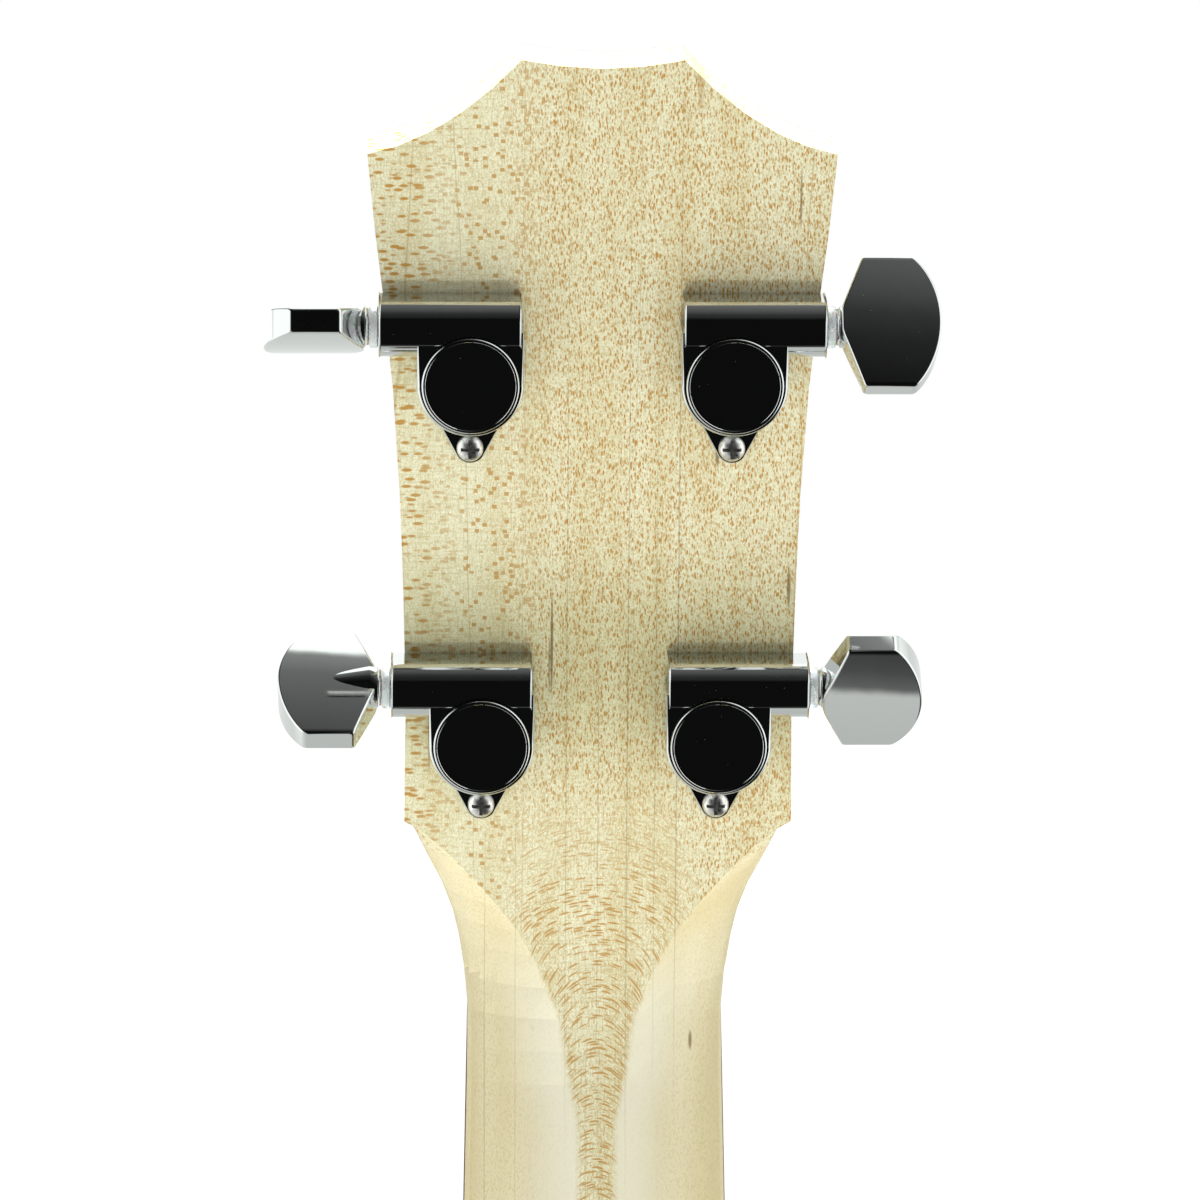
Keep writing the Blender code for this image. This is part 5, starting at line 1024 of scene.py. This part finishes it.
def make_dots():
    """Position dots on the board's face, and small ones along its bass edge."""
    wide = [(-0.0002, DOT_RADIUS), (0.00002, DOT_RADIUS), (0.00006, DOT_RADIUS - 0.0002)]
    small = [(-0.0003, SIDE_DOT_RADIUS), (0.00003, SIDE_DOT_RADIUS), (0.00006, SIDE_DOT_RADIUS - 0.0002)]
    face, edge = [], []
    for number in DOTTED_FRETS:
        z = (fret_z(number) + fret_z(number - 1)) / 2.0
        for x in (-DOT_APART, DOT_APART) if number == OCTAVE else (0.0,):
            forward = Matrix.Rotation(-pi / 2.0, 4, "Z")
            face.append(turned(wide, Matrix.Translation((x, BOARD_FRONT_Y, z)) @ forward, 28))
        at = Matrix.Translation((-neck_half(z), FACE_Y - GAP - BOARD_THICK / 2.0, z))
        edge.append(turned(small, at @ Matrix.Rotation(pi, 4, "Z"), 20))
    for name, parts in (("face_dots", face), ("side_dots", edge)):
        add_piece(name, mesh_of(name, *gathered(parts)), others["pearl"], "root")


def bezier(first, first_handle, last_handle, last, steps):
    points = []
    for t in evenly(1.0, steps)[:-1]:
        u = 1.0 - t
        weights = (u ** 3, 3 * u * u * t, 3 * u * t * t, t ** 3)
        corners = (first, first_handle, last_handle, last)
        points.append(tuple(sum(w * c[axis] for w, c in zip(weights, corners)) for axis in (0, 1)))
    return points


def half_outline():
    """The treble half of the body's outline as (x, z), from the neck joint down to the tail."""
    upper, waist, lower = UPPER_BOUT / 2.0, WAIST / 2.0, LOWER_BOUT / 2.0
    at = lambda share: JOINT_Z - BODY_LENGTH * share
    top, tail = (0.0, JOINT_Z), (0.0, TAIL_Z)
    bout, middle, wide = (upper, at(UPPER_BOUT_AT)), (waist, at(WAIST_AT)), (lower, at(LOWER_BOUT_AT))
    points = bezier(top, (upper * 0.58, JOINT_Z), (upper, at(0.07)), bout, 7)
    points += bezier(bout, (upper, at(0.3)), (waist, at(0.34)), middle, 5)
    points += bezier(middle, (waist, at(0.53)), (lower, at(0.56)), wide, 7)
    points += bezier(wide, (lower, at(0.905)), (lower * 0.6, TAIL_Z), tail, 9)
    return points + [tail]


def whole(points):
    return points + [(-x, z) for x, z in reversed(points[1:-1])]


def moved_in(outline, by):
    """A closed outline moved inwards by this much; a negative amount moves it out."""
    moved = []
    count = len(outline)
    for index, (x, z) in enumerate(outline):
        (x0, z0), (x1, z1) = outline[index - 1], outline[(index + 1) % count]
        way = Vector((x1 - x0, z1 - z0)).normalized()
        moved.append((x + way.y * by, z - way.x * by))
    return moved


def back_y(x, z):
    along = JOINT_Z - z
    middle = BODY_LENGTH / 2.0
    depth = DEPTH_AT_NECK + (DEPTH_AT_TAIL - DEPTH_AT_NECK) * along / BODY_LENGTH
    return FACE_Y + depth + (middle ** 2 - x ** 2 - (along - middle) ** 2) / (2.0 * BACK_DOME_RADIUS)

def band(name, outline, inner, levels, finish, slot):
    """A strip round the body between two outlines; levels gives its two edges in y at each point."""
    rows = []
    lengths, length = [], 0.0
    for index, ((x, z), (inner_x, inner_z)) in enumerate(zip(outline, inner)):
        low, high = levels(x, z)
        rows += [Vector((x, low, z)), Vector((x, high, z))]
        rows += [Vector((inner_x, high, inner_z)), Vector((inner_x, low, inner_z))]
        if index:
            length += dist(outline[index - 1], (x, z))
        lengths.append(length)
    add_piece(name, strip_mesh(name, rows, 4, lengths, True), finish, "root")


def make_body_trim():
    outline = whole(half_outline())
    proud = moved_in(outline, -TRIM_PROUD)
    within = moved_in(outline, BINDING_WIDTH)
    front = lambda x, z: (FACE_Y - TRIM_PROUD, FACE_Y + BINDING_HEIGHT)
    back = lambda x, z: (back_y(x, z) - BINDING_HEIGHT, back_y(x, z) + TRIM_PROUD)
    band("binding_front", proud, within, front, others["rosewood"], "dark_wood")
    band("binding_back", proud, within, back, others["rosewood"], "dark_wood")
    inner, lining = (moved_in(outline, SIDE_THICK + depth) for depth in LINING_DEPTHS)
    front = lambda x, z: (TOP_INNER_Y + GAP, TOP_INNER_Y + 0.0125)
    back = lambda x, z: (back_y(x, z) - BACK_THICK - 0.0135, back_y(x, z) - BACK_THICK - 0.0008)
    band("lining_front", inner, lining, front, others["kerfed"], "brace_wood")
    band("lining_back", inner, lining, back, others["kerfed"], "brace_wood")
    turn = Matrix.Translation((0.0, FACE_Y, HOLE_Z)) @ Matrix.Rotation(-pi / 2.0, 4, "Z")
    start, end = ROSETTE
    ring = [(-TRIM_SUNK, start), (TRIM_PROUD, start), (TRIM_PROUD, end), (-TRIM_SUNK, end)]
    add_turned("rosette", ring, turn, 96, others["rosette"], "root", closed=True)


def make_cover_screws():
    """Two small screws hold the plate over the truss rod's nut."""
    sizes = {"head_radius": 0.0016, "head_height": 0.0009, "shank_radius": 0.0007, "length": 0.004}
    for number, up in ((1, 0.0085), (2, 0.0425)):
        place = head_frame(on_head(0.0, up, -GAP - COVER_PLATE_THICK)) @ Matrix.Rotation(pi, 4, "Y")
        make_screw(f"cover_screw_{number}", place, **sizes, seat=0.00005)


# Light and camera

def make_world():
    """White all round to the eye; polished metal also sees the dark cards that a studio sets before it."""
    world = bpy.data.worlds.new("studio")
    bpy.context.scene.world = world
    world.use_nodes = True
    world.node_tree.nodes.clear()
    s = Nodes(world.node_tree, "Generated")
    # The cards stand a little askew, so that their edges come lower towards the bass side
    angle = s.math("MULTIPLY_ADD", s.x, -CARD_LEAN, s.math("ARCTAN2", s.z, s.y))
    stops = [((degrees + 180.0) / 360.0, level) for degrees, level in CARD]
    card = s.curve(s.ramp(angle, -pi, pi, smooth=False), stops, CARD_TINT)
    card = s.blend(s.ramp(s.math("ABSOLUTE", s.x), *CARD_ENDS, smooth=False), card, BESIDE_CARD)
    kind = s.make("ShaderNodeLightPath").outputs
    ambient = s.blend(kind["Is Glossy Ray"], (AMBIENT, AMBIENT, AMBIENT), card)
    seen = s.math("MAXIMUM", kind["Is Camera Ray"], kind["Is Transmission Ray"])
    background = s.make("ShaderNodeBackground", Color=s.blend(seen, ambient, (1.0, 1.0, 1.0)))
    s.make("ShaderNodeOutputWorld", {0: background.outputs[0]})


def make_lamp(name, size, power, place):
    data = bpy.data.lights.new(name, "AREA")
    data.shape = "DISK"
    data.size = size
    data.energy = power
    lamp = placed(name, data)
    lamp.location = place
    lamp.rotation_euler = (Vector(LIT) - Vector(place)).to_track_quat("-Z", "Y").to_euler()
    lamp.visible_glossy = False
    lamp.visible_camera = False


def make_floor():
    s = Shader("pale_floor")
    colour = s.blend(s.noise((0.5, 0.5, 0.5), detail=1.0), (0.8, 0.8, 0.8), (0.82, 0.82, 0.82))
    glow = {"Emission_Color": (1.0, 1.0, 1.0, 1.0), "Emission_Strength": 0.75}
    finish = s.finish(colour, 0.9, Specular_IOR_Level=0.0, **glow)
    reach, low = FLOOR_REACH, cad_box[0].z - 0.002
    corners = [(-reach, -reach, low), (reach, -reach, low), (reach, reach, low), (-reach, reach, low)]
    mesh = mesh_of("floor", corners, [(0, 1, 2, 3)])
    mesh.materials.append(finish)
    floor = placed("floor", mesh)
    floor.visible_glossy = False
    floor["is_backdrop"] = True


def make_camera():
    data = bpy.data.cameras.new("camera")
    data.lens = LENS_MM
    data.sensor_width = FILM_MM
    data.clip_end = 200.0
    camera = placed("camera", data)
    camera.location = CAMERA_PLACE
    camera.rotation_euler = CAMERA_TURN
    bpy.context.scene.camera = camera


BOWL_STEPS = 44
# Steps round a string's turn on its post, and round its bend into the hole
WRAP_STEPS = 48
BEND_STEPS = 14
# The winding wire's pitch, as a share of the string's diameter
WIRE_SHARE = 0.22
# A turned profile ends at this radius, so that its points stay apart on the axis
TIP = 0.00002
# How far a cutting shape reaches past what it cuts
CUT_PAST = 0.002
CAP_ROUND = 0.00034
COLLAR_RADIUS = 0.00345
WASHER_THICK = 0.00045
# The fine frets stand this far out of those of the board
OVER_FRET = 0.00004
FRET_BEVEL = 0.0008
DOT_RADIUS = 0.003
DOT_APART = 0.011
SIDE_DOT_RADIUS = 0.0011
# How far the trim stands out of the wood, and how far the rosette reaches into it
TRIM_PROUD = 0.00012
TRIM_SUNK = 0.0003
BINDING_WIDTH = 0.0018
BINDING_HEIGHT = 0.0052
# Both faces of the lining, measured from the side's inner face
LINING_DEPTHS = (0.0002, 0.0062)
WORM_AXIS = Matrix.Translation((0.0, CENTRE_DISTANCE, -WORM_HEIGHT))
OCTAVE = 12
DOTTED_FRETS = (3, 5, 7, 9, OCTAVE, 15, 17)
ROSETTE = (0.053, 0.061)
KERF_STEP = 0.0055
# What the chrome mirrors, by the starts of the pieces' names
MIRRORED = ("neck", "housing_", "cap_", "collar_", "washer_", "fine_screw_", "headstock", "tuner_")
FLOOR_REACH = 60.0
LENS_MM = 196.0
FILM_MM = 36.0
CAMERA_PLACE = (0.0299, 1.0936, 0.047)
CAMERA_TURN = (radians(90.0), 0.0, radians(180.0 - 1.6))
# The point that both lamps face
LIT = (0.0, 0.0, 0.05)
AMBIENT = 0.42
# How far the dark cards lean, in radians for each unit sideways, and where their ends fade out
CARD_LEAN = 1.8
CARD_ENDS = (0.62, 0.8)
CARD_TINT = (0.97, 1.0, 0.98)
BESIDE_CARD = (1.4, 1.43, 1.42)
# What polished metal sees: (degrees up from straight behind the guitar, brightness)
CARD = (
    (-180.0, 0.9),
    (-150.0, 0.8),
    (-110.0, 0.66),
    (-81.0, 0.72),
    (-78.0, 0.17),
    (-70.0, 0.095),
    (-58.0, 0.06),
    (-48.0, 0.017),
    (-42.0, 0.006),
    (14.0, 0.0045),
    (24.0, 0.011),
    (40.0, 0.024),
    (50.0, 0.045),
    (58.0, 0.085),
    (66.0, 0.115),
    (74.0, 0.14),
    (88.0, 0.19),
    (98.0, 0.32),
    (100.0, 1.55),
    (135.0, 1.5),
    (160.0, 1.1),
    (180.0, 0.9),
)

metals = {
    "chrome": chrome(),
    "steel": bright_steel(),
    "screw": bright_steel("screw_steel", 0.32, (0.92, 0.91, 0.88)),
    "fret": bright_steel("fret_silver", 0.2, (0.78, 0.77, 0.72)),
    "brass": bright_steel("ball_brass", 0.25, (0.75, 0.58, 0.3)),
}
others = {
    "nylon": nylon(),
    "rosewood": rosewood(),
    "facing": faced_ply(),
    "pearl": pearl(),
    "kerfed": kerfed_lining(),
    "rosette": rosette_wood(),
    "bone": bone(),
    "black": black_plastic(),
    "neck": neck_maple(),
    "body": body_maple(),
    "spruce": spruce("top_spruce", (0.8, 0.62, 0.36), (0.72, 0.52, 0.27), 0.4, 0.4),
    "brace": spruce("brace_spruce", (0.66, 0.53, 0.33), (0.56, 0.42, 0.23), 0.62, 0.0),
}
# Each finish with the starts of its nodes' names. Where several fit, the longest counts
FINISHES = (
    (metals["steel"], "tuner_worm truss_ heel_bolt"),
    (metals["chrome"], "tuner_ strap_button"),
    (others["black"], "truss_rod_cover bridge_pin"),
    (others["rosewood"], "bridge fingerboard"),
    (others["facing"], "headstock_veneer"),
    (others["bone"], "nut saddle"),
    (others["neck"], "neck"),
    (others["spruce"], "soundboard"),
    (others["body"], "bridge_plate back_plate side_"),
    (others["brace"], "neck_block tail_block x_brace_ transverse_brace back_brace_ string_"),
)
starts = {start: finish for finish, words in FINISHES for start in words.split()}
# Rounded edges: (start of the node's name, width, steps)
BEVELS = (
    ("tuner_bushing", 0.00025, 2),
    ("bridge", 0.0006, 2),
    ("fingerboard", 0.0003, 2),
    ("headstock_veneer", 0.0002, 1),
    ("truss_rod_cover", 0.0003, 2),
    ("saddle", 0.0004, 2),
    ("nut", 0.0002, 2),
    ("soundboard", 0.0003, 2),
    ("back_plate", 0.0005, 2),
)
NOT_BEVELLED = ("bridge_pin", "bridge_plate")

for node_name, node in nodes.items():
    start = max((start for start in starts if node_name.startswith(start)), key=len)
    node.data.materials.clear()
    node.data.materials.append(starts[start])
    for start, width, segments in BEVELS:
        if node_name.startswith(start) and not node_name.startswith(NOT_BEVELLED):
            weld = node.modifiers.new("weld", "WELD")
            weld.merge_threshold = 0.000002
            bevel = node.modifiers.new("bevel", "BEVEL")
            bevel.width = width
            bevel.segments = segments
            bevel.limit_method = "ANGLE"
            bevel.angle_limit = radians(SHARP)
            bevel.harden_normals = True
            bevel.miter_outer = "MITER_ARC"

make_strings()
for string_name in STRINGS:
    make_housing(string_name)
    make_cap(string_name)
    make_button(string_name)
    make_tuner_trim(string_name)
make_frets()
make_dots()
make_body_trim()
make_cover_screws()
make_world()
make_floor()
make_lamp("key", size=0.25, power=13.5, place=(0.05, 1.45, -0.8))
make_lamp("top", size=0.9, power=110.0, place=(0.0, -0.51, 1.24))
make_camera()
bpy.context.scene.view_settings.view_transform = "Standard"

# Polished metal mirrors the head and what is on it, not the body below
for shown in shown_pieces():
    if not shown.name.startswith(MIRRORED):
        shown.visible_glossy = False
